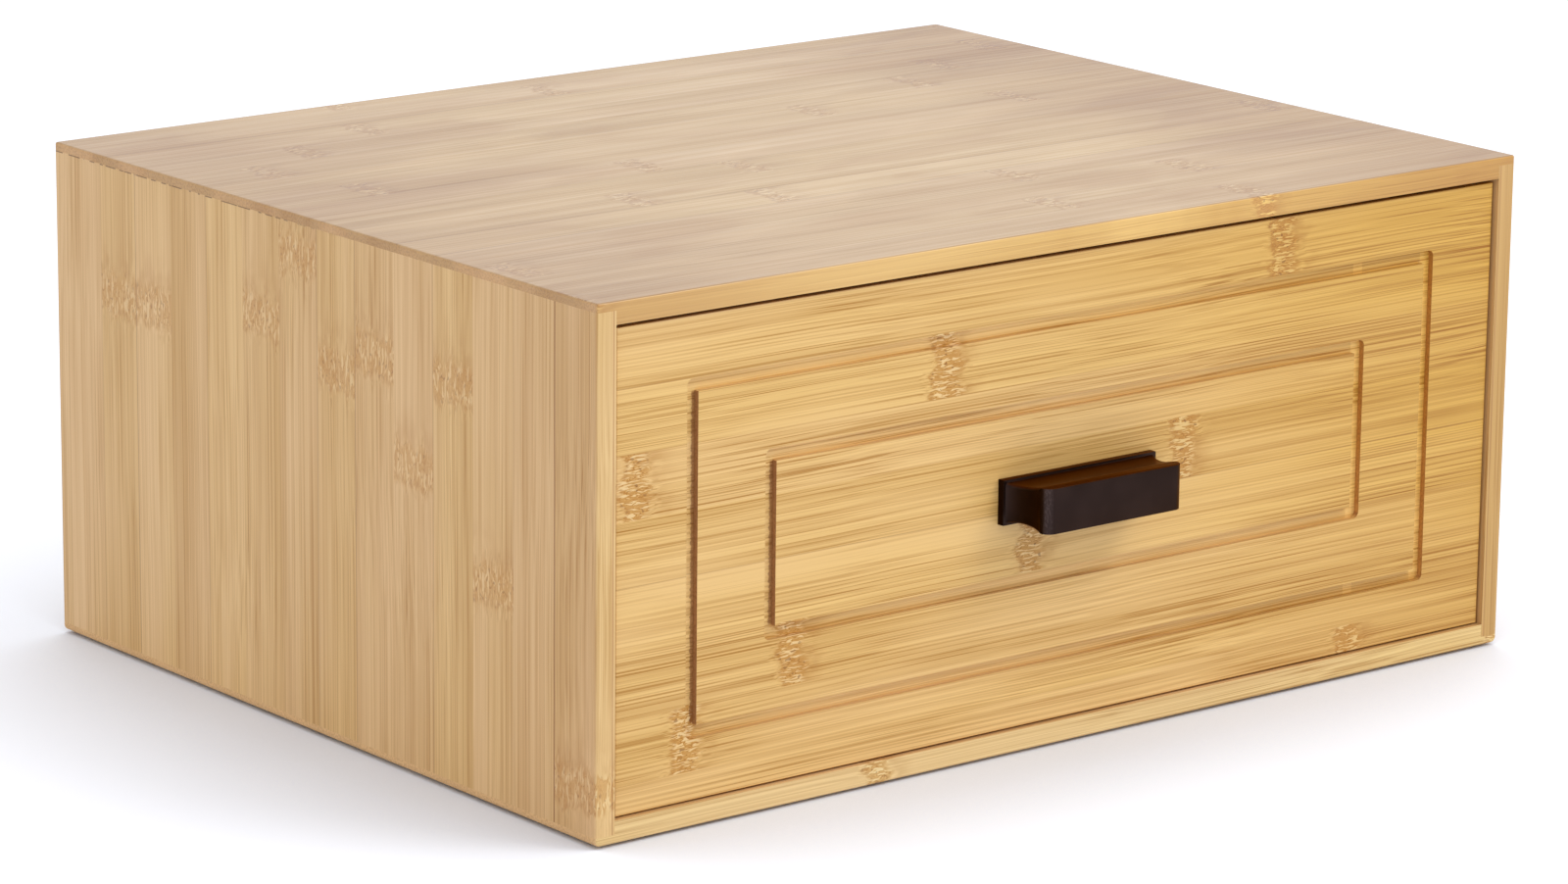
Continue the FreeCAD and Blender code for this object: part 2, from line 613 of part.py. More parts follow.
def is_bar_edge(middle, along):
    """The long upper and lower edges of the front bar's face."""
    return along == "X" and near(middle.y, "0")


ease(handle, "bar_ease", bar_ease, is_bar_edge)

threads = new_sketch(handle, "thread_holes", "XZ", f"{handle_reach} - {screw_bite} - {thread_end}")
for sign in ("-", "+"):
    thread_x = f"{foot_plate_length} / 2 {sign} {screw_spacing} / 2"
    draw_circle(threads, thread_x, f"{handle_height} / 2", f"{screw_diameter} + 2 * {thread_play}")
cut(handle, "threads", threads, f"{screw_bite} + {thread_end}")


def make_screw(name, x, y, z):
    """Round-headed screw with a cross recess, its point towards -Y, at the place of its point."""
    half_head = f"({head_diameter} / 2)"
    body = new_body(name, f"{x} - {half_head}", y, f"{z} - {half_head}")
    shank = new_sketch(body, name + "_shank_outline", "XZ")
    draw_circle(shank, half_head, half_head, screw_diameter)
    pad(body, name + "_shank", shank, screw_length)
    head = new_sketch(body, name + "_head_outline", "XZ", screw_length)
    draw_circle(head, half_head, half_head, head_diameter)
    pad(body, name + "_head", head, head_height)
    head_end = f"({screw_length} + {head_height})"
    ease(
        body, name + "_dome", head_round,
        lambda middle, along: along == ROUND and near(middle.y, head_end),
    )
    for way, (width, height) in (("flat", (slot_length, slot_width)), ("upright", (slot_width, slot_length))):
        slot = new_sketch(body, f"{name}_{way}_slot", "XZ", f"{head_end} - {slot_depth}")
        draw_rectangle(slot, f"{half_head} - {width} / 2", f"{half_head} - {height} / 2", width, height)
        cut(body, f"{name}_{way}_recess", slot, slot_depth)
    return body


def make_washer(name, x, y, z):
    """Flat ring between a screw's head and the drawer front."""
    half_ring = f"({washer_diameter} / 2)"
    body = new_body(name, f"{x} - {half_ring}", y, f"{z} - {half_ring}")
    ring = new_sketch(body, name + "_ring", "XZ")
    draw_circle(ring, half_ring, half_ring, washer_diameter)
    draw_circle(ring, half_ring, half_ring, washer_hole)
    pad(body, name + "_plate", ring, washer_thickness)
    return body


screw_z = f"({front_z} + {handle_z})"
for side, sign in (("left", "-"), ("right", "+")):
    screw_x = f"({case_width} / 2 {sign} {screw_spacing} / 2)"
    make_screw(f"handle_screw_{side}", screw_x, f"({front_recess} - {screw_bite})", screw_z)
    make_washer(f"handle_washer_{side}", screw_x, box_front_y, screw_z)

# ---------------------------------------------------------------- check and write
doc.recompute()
bodies = [item for item in doc.Objects if item.TypeId == "PartDesign::Body"]
for item in doc.Objects:
    if "Invalid" in item.State or "Error" in item.State:
        raise ValueError(f"{item.Name} did not compute")
for body in bodies:
    if body.Shape.isNull() or not body.Shape.isValid():
        raise ValueError(f"{body.Label} has no sound shape")
os.makedirs("parts", exist_ok=True)
for body in bodies:
    body.Shape.exportStep(f"parts/{body.Label}.step")
    box = body.Shape.BoundBox
    spans = [f"{low:8.2f} to {high:8.2f}" for low, high in (
        (box.XMin, box.XMax), (box.YMin, box.YMax), (box.ZMin, box.ZMax),
    )]
    print(f"{body.Label:20s} {len(body.Shape.Solids)} solids {body.Shape.Volume:12.1f} mm3", *spans)
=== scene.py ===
import math
from functools import partial

import bpy
from bpy.props import FloatProperty, FloatVectorProperty, IntProperty, PointerProperty
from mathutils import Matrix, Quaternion, Vector


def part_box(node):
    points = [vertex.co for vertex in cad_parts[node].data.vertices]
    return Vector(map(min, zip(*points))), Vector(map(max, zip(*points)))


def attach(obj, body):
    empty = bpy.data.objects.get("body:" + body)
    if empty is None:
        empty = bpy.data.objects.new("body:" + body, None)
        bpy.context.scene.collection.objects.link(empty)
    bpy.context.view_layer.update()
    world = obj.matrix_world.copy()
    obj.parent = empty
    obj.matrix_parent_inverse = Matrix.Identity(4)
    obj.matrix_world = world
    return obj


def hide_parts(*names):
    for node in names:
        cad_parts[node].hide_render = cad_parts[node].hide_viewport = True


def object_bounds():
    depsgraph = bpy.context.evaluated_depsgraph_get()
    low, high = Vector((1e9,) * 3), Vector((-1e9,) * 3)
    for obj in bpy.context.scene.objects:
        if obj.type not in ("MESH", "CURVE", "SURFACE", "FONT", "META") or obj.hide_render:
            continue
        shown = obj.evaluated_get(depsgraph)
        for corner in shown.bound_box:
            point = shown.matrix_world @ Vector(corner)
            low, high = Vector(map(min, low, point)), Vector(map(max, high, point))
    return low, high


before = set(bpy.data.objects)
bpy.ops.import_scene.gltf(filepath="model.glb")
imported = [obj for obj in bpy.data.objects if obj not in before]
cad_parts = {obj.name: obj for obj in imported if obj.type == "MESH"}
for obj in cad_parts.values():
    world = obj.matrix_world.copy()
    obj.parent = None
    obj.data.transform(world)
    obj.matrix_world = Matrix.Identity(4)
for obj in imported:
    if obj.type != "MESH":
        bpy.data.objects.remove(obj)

bl_info = {
    "name": "Bread Box with Drawer",
    "version": (1, 0, 0),
    "blender": (4, 5, 0),
    "location": "3D View > Sidebar > Bread Box",
    "description": "Dresses a bamboo bread box, models its handle and sets up a studio",
    "category": "Add Mesh",
}

CAD_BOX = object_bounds()
MM = 0.001
# Strips are counted from just before a board's edge, so that no seam lies on the edge itself.
SEAM_SHIFT = 0.05 * MM
# Two places nearer than this are the same place.
CLOSE = 0.01 * MM
# The place that full white stands for in a ramp of knuckle places.
KNUCKLE_LIMIT = 500 * MM
# Where the knuckle of each strip lies, in mm from the board's corner. None: no knuckle in that strip.
SIDE_KNUCKLES = (17, None, 74, 136, 104, 137, 128, 162, 138, None, None, 129, 129, None, None)
TOP_KNUCKLES = (282, 215, 294, 235, 147, 104, 170, 140, 42, 250, 315, 61, 100, 195, 115)
FRONT_KNUCKLES = (328, 37, 80, 181, 248, 16, 143, 292)
# Both routed rectangles: how far the lines' middles lie in from the drawer front's ends, and from its top
# and bottom edges.
ROUTED_INSETS = ((30.2 * MM, 22.6 * MM), (62 * MM, 50.1 * MM))
LINE_WIDTH = 4.4 * MM
# The drawer front's strips are counted from this height, below its lower edge.
FIRST_FRONT_SEAM = -3.6 * MM
# A side panel is glued from two layers, and the outer one is this thick.
OUTER_LAYER = 6.6 * MM
# The handle's corners carry a painted highlight this far behind its front.
HIGHLIGHT_DEPTH = 6 * MM


# ---------------------------------------------------------------- settings
def length_setting(name, description, default):
    return FloatProperty(
        name=name, description=description, default=default, unit="LENGTH", precision=5, min=0,
    )


def colour_setting(name, description, default):
    return FloatVectorProperty(
        name=name, description=description, default=default, subtype="COLOR", size=3, min=0, max=1,
    )


def point_setting(name, description, default):
    return FloatVectorProperty(
        name=name, description=description, default=default, subtype="TRANSLATION", unit="LENGTH", size=3,
    )


class BambooSettings(bpy.types.PropertyGroup):
    """Sizes and colours of the laminated bamboo."""

    strip_width: length_setting("Strip width", "One glued strip of the sides and the boards inside", 0.022)
    top_strip_width: length_setting("Top strip width", "One glued strip of the top and the bottom", 0.0217)
    front_strip_width: length_setting("Front strip width", "One glued strip of the drawer front", 0.0216)
    case_light: colour_setting(
        "Case, light", "Pale wood between the fibres of the case's boards", (0.83, 0.55, 0.262),
    )
    case_deep: colour_setting("Case, deep", "Fibres of the case's boards", (0.46, 0.225, 0.062))
    front_light: colour_setting(
        "Front, light", "Pale wood between the fibres of the drawer front", (0.86, 0.565, 0.22),
    )
    front_deep: colour_setting("Front, deep", "Fibres of the drawer front", (0.42, 0.18, 0.012))
    inner_light: colour_setting(
        "Inside, light", "Pale wood between the fibres of the boards inside", (0.78, 0.55, 0.30),
    )
    inner_deep: colour_setting("Inside, deep", "Fibres of the boards inside", (0.55, 0.33, 0.14))


class HandleSettings(bpy.types.PropertyGroup):
    """Sizes and colour of the bar handle."""

    foot_thickness: length_setting("Foot thickness", "Foot that lies on the drawer front", 0.0028)
    foot_step: length_setting("Foot step", "Foot past the start of the neck", 0.0008)
    bar_length: length_setting("Bar length", "Front bar, end to end", 0.060)
    bar_thickness: length_setting("Bar thickness", "Front bar, front to back", 0.0048)
    side_dip: length_setting("Side dip", "Hollow of the neck, left and right", 0.001)
    top_dip: length_setting("Top dip", "Hollow of the neck, above and below", 0.0013)
    neck_low: length_setting("Lowest place", "Lowest place of the neck, behind the front bar", 0.0085)
    bar_round: length_setting("Bar corners", "Rounded corners of the front bar", 0.0038)
    neck_round: length_setting("Neck edges", "Rounded long edges of the neck", 0.0012)
    edge_round: length_setting("Edges", "Softened small edges", 0.00035)
    neck_rings: IntProperty(
        name="Neck rings", description="Rings of faces along the hollow neck", default=14, min=4, max=60,
    )
    bronze: colour_setting("Bronze", "Colour of the dark bronze finish", (0.031, 0.019, 0.0165))


class StudioSettings(bpy.types.PropertyGroup):
    """Camera, lights and floor."""

    camera_place: point_setting("Camera", "Place of the camera", (-1.3144, -1.6438, 0.5996))
    camera_target: point_setting("Target", "Point at the middle of the view", (-0.1253, -0.1575, 0.1215))
    camera_roll: FloatProperty(
        name="Roll", description="Turn of the camera about its line of sight", subtype="ANGLE",
        default=math.radians(0.607),
    )
    focal_length: FloatProperty(
        name="Focal length", description="Lens on a sensor 36 mm wide", default=141.24, unit="CAMERA",
    )
    floor_size: length_setting("Floor", "Side of the square floor", 24.0)
    floor_white: FloatProperty(
        name="Floor glow", description="White that is seen besides the floor's own light",
        default=0.36, min=0,
    )
    shadow_reach: length_setting(
        "Shadow reach", "How far from what stands on it the floor's glow fades", 0.16,
    )
    sky: FloatProperty(
        name="Surrounding light", description="Strength of the even light from all sides",
        default=0.92, min=0,
    )
    key_power: FloatProperty(
        name="Key lamp", description="Power of the large lamp at the right",
        default=19.0, min=0, unit="POWER",
    )
    key_place: point_setting("Key lamp's place", "Place of the large lamp", (1.15, -1.5, 1.9))
    key_target: point_setting("Key lamp's target", "Point that the large lamp faces", (0, -0.05, 0.08))
    key_size: length_setting("Key lamp's size", "Diameter of the large lamp", 1.3)


# ---------------------------------------------------------------- shader tools
class NodeMaker:
    """Adds nodes to one shader tree. A value may be a number, a colour or another node's socket."""

    def __init__(self, tree):
        self.tree = tree

    def feed(self, socket, value):
        if isinstance(value, bpy.types.NodeSocket):
            self.tree.links.new(value, socket)
        else:
            socket.default_value = value

    def node(self, kind, values=None, **choices):
        made = self.tree.nodes.new(kind)
        for name, choice in choices.items():
            setattr(made, name, choice)
        for name, value in (values or {}).items():
            self.feed(made.inputs[name], value)
        return made

    def math(self, operation, *values, clamp=False):
        made = self.node("ShaderNodeMath", dict(enumerate(values)), operation=operation, use_clamp=clamp)
        return made.outputs[0]

    def fade(self, value, start, end, low=0.0, high=1.0):
        """A smooth step from low to high as value goes from start to end."""
        values = {"Value": value, "From Min": start, "From Max": end, "To Min": low, "To Max": high}
        return self.node("ShaderNodeMapRange", values, interpolation_type="SMOOTHSTEP").outputs[0]

    def blend(self, amount, first, second, kind="MIX"):
        """Mix two colours by amount."""
        made = self.node("ShaderNodeMix", data_type="RGBA", blend_type=kind, clamp_factor=True)
        self.feed(made.inputs["Factor"], amount)
        self.feed(made.inputs[6], first)
        self.feed(made.inputs[7], second)
        return made.outputs[2]

    def tinted(self, colour, tint):
        """A colour times a fixed tint."""
        return self.blend(1.0, colour, (*tint, 1.0), kind="MULTIPLY")

    def product(self, *masks):
        """All the masks times each other."""
        made = masks[0]
        for mask in masks[1:]:
            made = self.math("MULTIPLY", made, mask)
        return made

    def weighed(self, *shares):
        """The sum of each value times its weight."""
        made = None
        for value, weight in shares:
            share = self.math("MULTIPLY", value, weight)
            made = share if made is None else self.math("ADD", made, share)
        return made

    def size_of(self, value):
        """The value without its sign."""
        return self.math("ABSOLUTE", value)

    def noise(self, place, scale, detail=2.0, distortion=0.0):
        """Noise about 0.5 over place, with its own scale along each of the three directions."""
        stretched = self.node("ShaderNodeVectorMath", {0: place, 1: scale}, operation="MULTIPLY").outputs[0]
        values = {"Vector": stretched, "Scale": 1.0, "Detail": detail, "Distortion": distortion}
        return self.node("ShaderNodeTexNoise", values).outputs["Fac"]

    def centred_noise(self, place, scale, reach, **choices):
        """Noise about 0 that goes up to about half of reach to each side."""
        return self.math("MULTIPLY", self.math("SUBTRACT", self.noise(place, scale, **choices), 0.5), reach)

    def seen_rays(self):
        """1 where the camera looks, directly, through glass or in a reflection, and 0 for other light."""
        path = self.node("ShaderNodeLightPath").outputs
        direct = self.math("MAXIMUM", path["Is Camera Ray"], path["Is Transmission Ray"])
        return self.math("MAXIMUM", direct, path["Is Glossy Ray"])

    def chance(self, *values):
        """Three even random numbers that depend on up to three values."""
        place = self.node("ShaderNodeCombineXYZ", dict(enumerate(values))).outputs[0]
        made = self.node("ShaderNodeTexWhiteNoise", {"Vector": place}, noise_dimensions="3D")
        parts = self.node("ShaderNodeSeparateColor", {"Color": made.outputs["Color"]})
        return parts.outputs[0], parts.outputs[1], parts.outputs[2]


def new_group(name, inputs, outputs):
    """An empty shader node group, its maker, its inputs by name and a function that sets an output."""
    tree = bpy.data.node_groups.new(name, "ShaderNodeTree")
    for label, kind, start in inputs:
        socket = tree.interface.new_socket(name=label, in_out="INPUT", socket_type=kind)
        if start is not None:
            socket.default_value = start
    for label, kind in outputs:
        tree.interface.new_socket(name=label, in_out="OUTPUT", socket_type=kind)
    maker = NodeMaker(tree)
    entry = tree.nodes.new("NodeGroupInput")
    leave = tree.nodes.new("NodeGroupOutput")
    return tree, maker, entry.outputs, leave.inputs


def new_material(name):
    """A material with a bare Principled shader, and its maker."""
    material = bpy.data.materials.new(name)
    material.use_nodes = True
    tree = material.node_tree
    tree.nodes.clear()
    maker = NodeMaker(tree)
    shader = maker.node("ShaderNodeBsdfPrincipled")
    maker.node("ShaderNodeOutputMaterial", {"Surface": shader.outputs[0]})
    return material, maker, shader


def rgba(colour):
    return (*colour, 1.0)


def shaded(colour, factor):
    return tuple(part * factor for part in colour)


# ---------------------------------------------------------------- bamboo
def strip_number_group():
    """Which strip of a board a point is in, counted across the grain."""
    name = "Strip Number"
    if name in bpy.data.node_groups:
        return bpy.data.node_groups[name]
    tree, maker, given, result = new_group(
        name,
        [("Board", "NodeSocketVector", None), ("Strip Width", "NodeSocketFloat", 0.022)],
        [("Number", "NodeSocketFloat")],
    )
    across = maker.node("ShaderNodeSeparateXYZ", {0: given["Board"]}).outputs[1]
    count = maker.math("FLOOR", maker.math("DIVIDE", across, given["Strip Width"]))
    maker.feed(result["Number"], count)
    return tree


def bamboo_group():
    """Laminated bamboo: strips with fibres, a knuckle where one grew, and dark glue lines."""
    name = "Bamboo"
    if name in bpy.data.node_groups:
        return bpy.data.node_groups[name]
    tree, maker, given, result = new_group(
        name,
        [
            ("Board", "NodeSocketVector", None),
            ("Strip Width", "NodeSocketFloat", 0.022),
            ("Seed", "NodeSocketFloat", 0.0),
            ("Knuckle Place", "NodeSocketFloat", 5.0),
            ("Knuckle Spacing", "NodeSocketFloat", 0.285),
            ("Knuckle Size", "NodeSocketFloat", 0.006),
            ("Knuckle Strength", "NodeSocketFloat", 1.0),
            ("Curl Fineness", "NodeSocketFloat", 1250.0),
            ("Light", "NodeSocketColor", (0.7, 0.5, 0.3, 1.0)),
            ("Deep", "NodeSocketColor", (0.4, 0.25, 0.1, 1.0)),
            ("End Grain", "NodeSocketFloat", 0.0),
            ("Fibre", "NodeSocketFloat", 1.0),
            ("Glue", "NodeSocketFloat", 1.0),
        ],
        [("Color", "NodeSocketColor"), ("Roughness", "NodeSocketFloat"), ("Height", "NodeSocketFloat")],
    )
    parts = maker.node("ShaderNodeSeparateXYZ", {0: given["Board"]})
    along, across, depth = parts.outputs
    strips = maker.math("DIVIDE", across, given["Strip Width"])
    number = maker.math("FLOOR", strips)
    inside = maker.math("SUBTRACT", strips, number)
    tone, tint, shift = maker.chance(number, given["Seed"], 0.5)

    # A knuckle crosses its strip in a ragged band, with a soft shade on one side.
    strength = given["Knuckle Strength"]
    ragged = maker.centred_noise(given["Board"], (60, 210, 210), 11 * MM, detail=1.5)
    offset = maker.math("SUBTRACT", along, given["Knuckle Place"])
    half = maker.product(given["Knuckle Spacing"], 0.5)
    wrapped = maker.math("WRAP", offset, half, maker.product(half, -1.0))
    from_knuckle = maker.math("DIVIDE", maker.math("ADD", wrapped, ragged), given["Knuckle Size"])
    distance = maker.size_of(from_knuckle)
    band = maker.product(maker.fade(distance, 1.25, 0.55), strength)
    blotch = maker.noise(given["Board"], (90, 170, 170), detail=2.0)
    shade = maker.product(
        maker.fade(from_knuckle, 3.2, 0.4), maker.fade(from_knuckle, -0.9, 0.2),
        maker.fade(blotch, 0.38, 0.62), strength,
    )

    # Fibres bend near the knuckle and drift gently elsewhere.
    drift = maker.centred_noise(given["Board"], (6, 14, 14), 4 * MM, detail=1.0)
    swirl = maker.centred_noise(given["Board"], (150, 260, 260), 2.4 * MM, detail=1.0)
    bend = maker.math("ADD", drift, maker.product(swirl, maker.fade(distance, 2.0, 0.6)))
    row = maker.math("ADD", maker.math("ADD", across, bend), maker.product(shift, 3.0))
    layer = maker.math("ADD", maker.math("ADD", depth, bend), maker.product(tone, 2.0))
    reach = maker.math("ADD", along, maker.product(tint, 5.0))
    fibre_place = maker.node("ShaderNodeCombineXYZ", {0: reach, 1: row, 2: layer}).outputs[0]

    bands = maker.noise(fibre_place, (1.8, 150, 150), detail=2.0)
    streaks = maker.noise(fibre_place, (3, 1650, 1650), detail=1.0)
    threads = maker.noise(fibre_place, (7, 2900, 2900), detail=1.0)
    soft_lines = maker.noise(fibre_place, (2.5, 480, 480), detail=1.0)
    clouds = maker.noise(fibre_place, (7, 45, 45), detail=2.0)
    busy = maker.fade(clouds, 0.36, 0.60, 0.35, 1.0)
    lines = maker.product(maker.fade(streaks, 0.54, 0.64), busy)
    fine_lines = maker.product(maker.fade(threads, 0.55, 0.66), busy)
    pale_lines = maker.fade(streaks, 0.46, 0.37)

    # How deep the colour is: every kind of line adds its share to the strip's own tone.
    soft = maker.fade(soft_lines, 0.55, 0.68)
    fibres = maker.weighed((lines, 0.46), (fine_lines, 0.36), (pale_lines, -0.20), (soft, 0.13))
    fibres = maker.product(fibres, given["Fibre"], maker.math("SUBTRACT", 1.0, maker.product(band, 0.5)))
    tones = maker.weighed(*(
        (maker.math("SUBTRACT", pattern, 0.5), weight)
        for pattern, weight in ((bands, 0.62), (clouds, 0.35), (tone, 0.17))
    ))
    amount = maker.math("ADD", fibres, maker.math("ADD", tones, 0.24), clamp=True)
    colour = maker.blend(amount, given["Light"], given["Deep"])

    # Strips and bands differ a little in tint: some rosy, some golden.
    rosy = maker.tinted(colour, (1.0, 0.975, 0.98))
    golden = maker.tinted(colour, (1.0, 0.975, 0.84))
    warmth = maker.weighed((tint, 0.5), (clouds, 1.2))
    colour = maker.blend(maker.fade(warmth, 0.5, 1.2), rosy, golden)

    # The knuckle's own marks: curly cream strokes with brown outlines, a ridge, soft shade and a few pits.
    curl = given["Curl Fineness"]
    fineness = maker.node("ShaderNodeCombineXYZ", {0: 190.0, 1: curl, 2: curl})
    curls = maker.noise(fibre_place, fineness.outputs[0], detail=1.0, distortion=0.2)
    from_line = maker.size_of(maker.math("SUBTRACT", curls, 0.49))
    brown = maker.product(band, maker.fade(from_line, 0.05, 0.012))
    hollows = maker.product(band, maker.fade(curls, 0.46, 0.38))
    pale = maker.product(band, maker.fade(curls, 0.53, 0.60))
    ridge = maker.fade(maker.size_of(maker.math("ADD", from_knuckle, 0.8)), 0.24, 0.05)
    ridge = maker.product(ridge, maker.fade(threads, 0.42, 0.55), strength)
    dots = maker.noise(given["Board"], (500, 800, 800), detail=0.0)
    pits = maker.product(band, maker.fade(dots, 0.70, 0.76))
    rosy_brown = maker.tinted(given["Deep"], (1.05, 0.95, 0.88))
    dark_brown = maker.tinted(given["Deep"], (0.60, 0.50, 0.50))
    cream = maker.blend(0.45, given["Light"], (1.0, 0.84, 0.52, 1.0))
    gold = maker.blend(0.45, given["Light"], given["Deep"])
    gold = maker.tinted(gold, (1.08, 0.95, 0.62))
    for mark, strongest, paint in (
        (shade, 0.50, rosy_brown), (band, 0.55, gold), (hollows, 0.48, rosy_brown), (pale, 0.62, cream),
        (brown, 0.90, rosy_brown), (ridge, 0.55, rosy_brown), (pits, 0.65, dark_brown),
    ):
        colour = maker.blend(maker.product(mark, strongest), colour, paint)

    # Glue lines between the strips, some fainter than others.
    to_seam = maker.product(maker.math("PINGPONG", inside, 0.5), given["Strip Width"])
    seam_tone = maker.chance(maker.math("ROUND", strips), given["Seed"], 7.5)[0]
    seam = maker.product(
        maker.fade(to_seam, 0.42 * MM, 0.05 * MM), maker.fade(seam_tone, 0.25, 1.0), 0.55, given["Glue"],
    )
    colour = maker.blend(seam, colour, dark_brown)

    # End grain is darker and dotted.
    specks = maker.noise(given["Board"], (200, 1300, 1300), detail=1.0)
    plain_end = maker.blend(0.12, given["Light"], given["Deep"])
    end_light = maker.tinted(plain_end, (1.0, 0.95, 0.93))
    end_dark = maker.tinted(plain_end, (0.80, 0.71, 0.66))
    end_colour = maker.blend(maker.fade(specks, 0.40, 0.68), end_light, end_dark)
    end_colour = maker.blend(maker.fade(clouds, 0.4, 0.7, 0.0, 0.3), end_colour, end_dark)
    colour = maker.blend(given["End Grain"], colour, end_colour)
    maker.feed(result["Color"], colour)

    rough_streaks, rough_bands = maker.fade(streaks, 0.3, 0.7), maker.fade(bands, 0.3, 0.7)
    rough = maker.weighed((rough_streaks, 0.14), (rough_bands, 0.08), (given["End Grain"], 0.2))
    maker.feed(result["Roughness"], maker.math("ADD", 0.36, rough))
    height = maker.weighed((streaks, 0.5), (lines, -0.4), (brown, -0.5), (seam, -1.0))
    maker.feed(result["Height"], height)
    return tree


def gilded_edge_group():
    """A board's front edge lies along the grain and looks more golden than its face; its change towards the
    right is painted light.
    """
    name = "Gilded Front Edge"
    if name in bpy.data.node_groups:
        return bpy.data.node_groups[name]
    tree, maker, given, result = new_group(
        name,
        [
            ("Wood", "NodeSocketColor", (0.7, 0.5, 0.3, 1.0)),
            ("Across", "NodeSocketFloat", 0.0),
            ("Facing", "NodeSocketFloat", 0.0),
            ("Left Gold", "NodeSocketColor", (1.0, 1.0, 1.0, 1.0)),
            ("Right Gold", "NodeSocketColor", (1.0, 1.0, 1.0, 1.0)),
        ],
        [("Color", "NodeSocketColor")],
    )
    to_right = maker.fade(given["Across"], CAD_BOX[0].x, CAD_BOX[1].x)
    gold = maker.blend(to_right, given["Left Gold"], given["Right Gold"])
    golden = maker.blend(1.0, given["Wood"], gold, kind="MULTIPLY")
    front = maker.fade(given["Facing"], -0.6, -0.85)
    maker.feed(result["Color"], maker.blend(front, given["Wood"], golden))
    return tree


def gild_front_edge(maker, axes, colour, left_gold, right_gold):
    """The board's colour with its front edge gilded."""
    edge = maker.node("ShaderNodeGroup", node_tree=gilded_edge_group())
    maker.feed(edge.inputs["Wood"], colour)
    maker.feed(edge.inputs["Across"], axes["X"])
    maker.feed(edge.inputs["Facing"], axes["facing"]["Y"])
    edge.inputs["Left Gold"].default_value = rgba(left_gold)
    edge.inputs["Right Gold"].default_value = rgba(right_gold)
    return edge.outputs["Color"]


def knuckle_ramp(maker, number, places):
    """Where the knuckle of each numbered strip lies; a strip without one has it past the board's end."""
    count = len(places)
    share = maker.math("DIVIDE", maker.math("ADD", number, 0.5), count, clamp=True)
    ramp = maker.node("ShaderNodeValToRGB", {"Fac": share})
    band = ramp.color_ramp
    band.interpolation = "CONSTANT"
    for index, place in enumerate(places):
        stop = band.elements[0] if index == 0 else band.elements.new(index / count)
        stop.position = index / count
        level = 1.0 if place is None else place * MM / KNUCKLE_LIMIT
        stop.color = (level, level, level, 1.0)
    while len(band.elements) > count:
        band.elements.remove(band.elements[-1])
    return maker.math("MULTIPLY", ramp.outputs["Color"], KNUCKLE_LIMIT)


def board_vector(maker, along, across, across_start, along_start=0.0):
    """Object coordinates turned so that the grain runs along the first axis, and how the faces lie."""
    coordinates = maker.node("ShaderNodeTexCoord").outputs
    parts = maker.node("ShaderNodeSeparateXYZ", {0: coordinates["Object"]}).outputs
    axes = {"X": parts[0], "Y": parts[1], "Z": parts[2]}
    depth = next(axis for axis in "XYZ" if axis not in (along, across))
    run = maker.math("SUBTRACT", axes[along], along_start)
    row = maker.math("SUBTRACT", axes[across], across_start - SEAM_SHIFT)
    vector = maker.node("ShaderNodeCombineXYZ", {0: run, 1: row, 2: axes[depth]}).outputs[0]
    normals = maker.node("ShaderNodeSeparateXYZ", {0: coordinates["Normal"]}).outputs
    axes["facing"] = {"X": normals[0], "Y": normals[1], "Z": normals[2]}
    axes["place"] = coordinates["Object"]
    axes["end grain"] = maker.fade(maker.size_of(axes["facing"][along]), 0.55, 0.85)
    axes["edge"] = maker.fade(maker.size_of(axes["facing"][across]), 0.45, 0.75)
    return vector, axes


def bamboo_material(
    name, along, across, across_start, along_start, light, deep, strip_width,
    seed=1.0, places=(), spacing=0.8, knuckle_size=5 * MM, knuckle_strength=1.0, fibre=1.0, glue=1.0,
    curl=1250.0, coat=0.0, tune=None,
):
    """One board's material.

    The grain runs along one axis and the strips are counted across another, both from the given starts.
    Knuckles lie at the given places, in mm, or else at random in the spacing.
    """
    material, maker, shader = new_material(name)
    vector, axes = board_vector(maker, along, across, across_start, along_start)
    counter = maker.node("ShaderNodeGroup", node_tree=strip_number_group())
    maker.feed(counter.inputs["Board"], vector)
    counter.inputs["Strip Width"].default_value = strip_width
    if places:
        knuckle = knuckle_ramp(maker, counter.outputs["Number"], places)
    else:
        knuckle = maker.math("MULTIPLY", maker.chance(counter.outputs["Number"], seed, 3.5)[0], spacing)
    bamboo = maker.node("ShaderNodeGroup", node_tree=bamboo_group())
    maker.feed(bamboo.inputs["Board"], vector)
    maker.feed(bamboo.inputs["Knuckle Place"], knuckle)
    maker.feed(bamboo.inputs["End Grain"], axes["end grain"])
    maker.feed(bamboo.inputs["Glue"], maker.product(maker.math("SUBTRACT", 1.0, axes["edge"]), glue))
    for label, value in (
        ("Strip Width", strip_width), ("Seed", seed), ("Knuckle Spacing", spacing),
        ("Knuckle Size", knuckle_size), ("Knuckle Strength", knuckle_strength), ("Curl Fineness", curl),
        ("Light", rgba(light)), ("Deep", rgba(deep)), ("Fibre", fibre),
    ):
        bamboo.inputs[label].default_value = value
    colour = bamboo.outputs["Color"]
    if tune:
        colour = tune(maker, axes, colour)
    maker.feed(shader.inputs["Base Color"], colour)
    maker.feed(shader.inputs["Roughness"], bamboo.outputs["Roughness"])
    height = bamboo.outputs["Height"]
    relief = maker.node("ShaderNodeBump", {"Height": height, "Strength": 0.35, "Distance": 0.12 * MM})
    maker.feed(shader.inputs["Normal"], relief.outputs[0])
    shader.inputs["Coat Weight"].default_value = coat
    shader.inputs["Coat Roughness"].default_value = 0.22
    return material


def dress(names, material):
    """Give CAD nodes one material in every slot."""
    for name in names:
        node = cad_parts[name]
        if not node.material_slots:
            node.data.materials.append(material)
        for slot in node.material_slots:
            slot.material = material


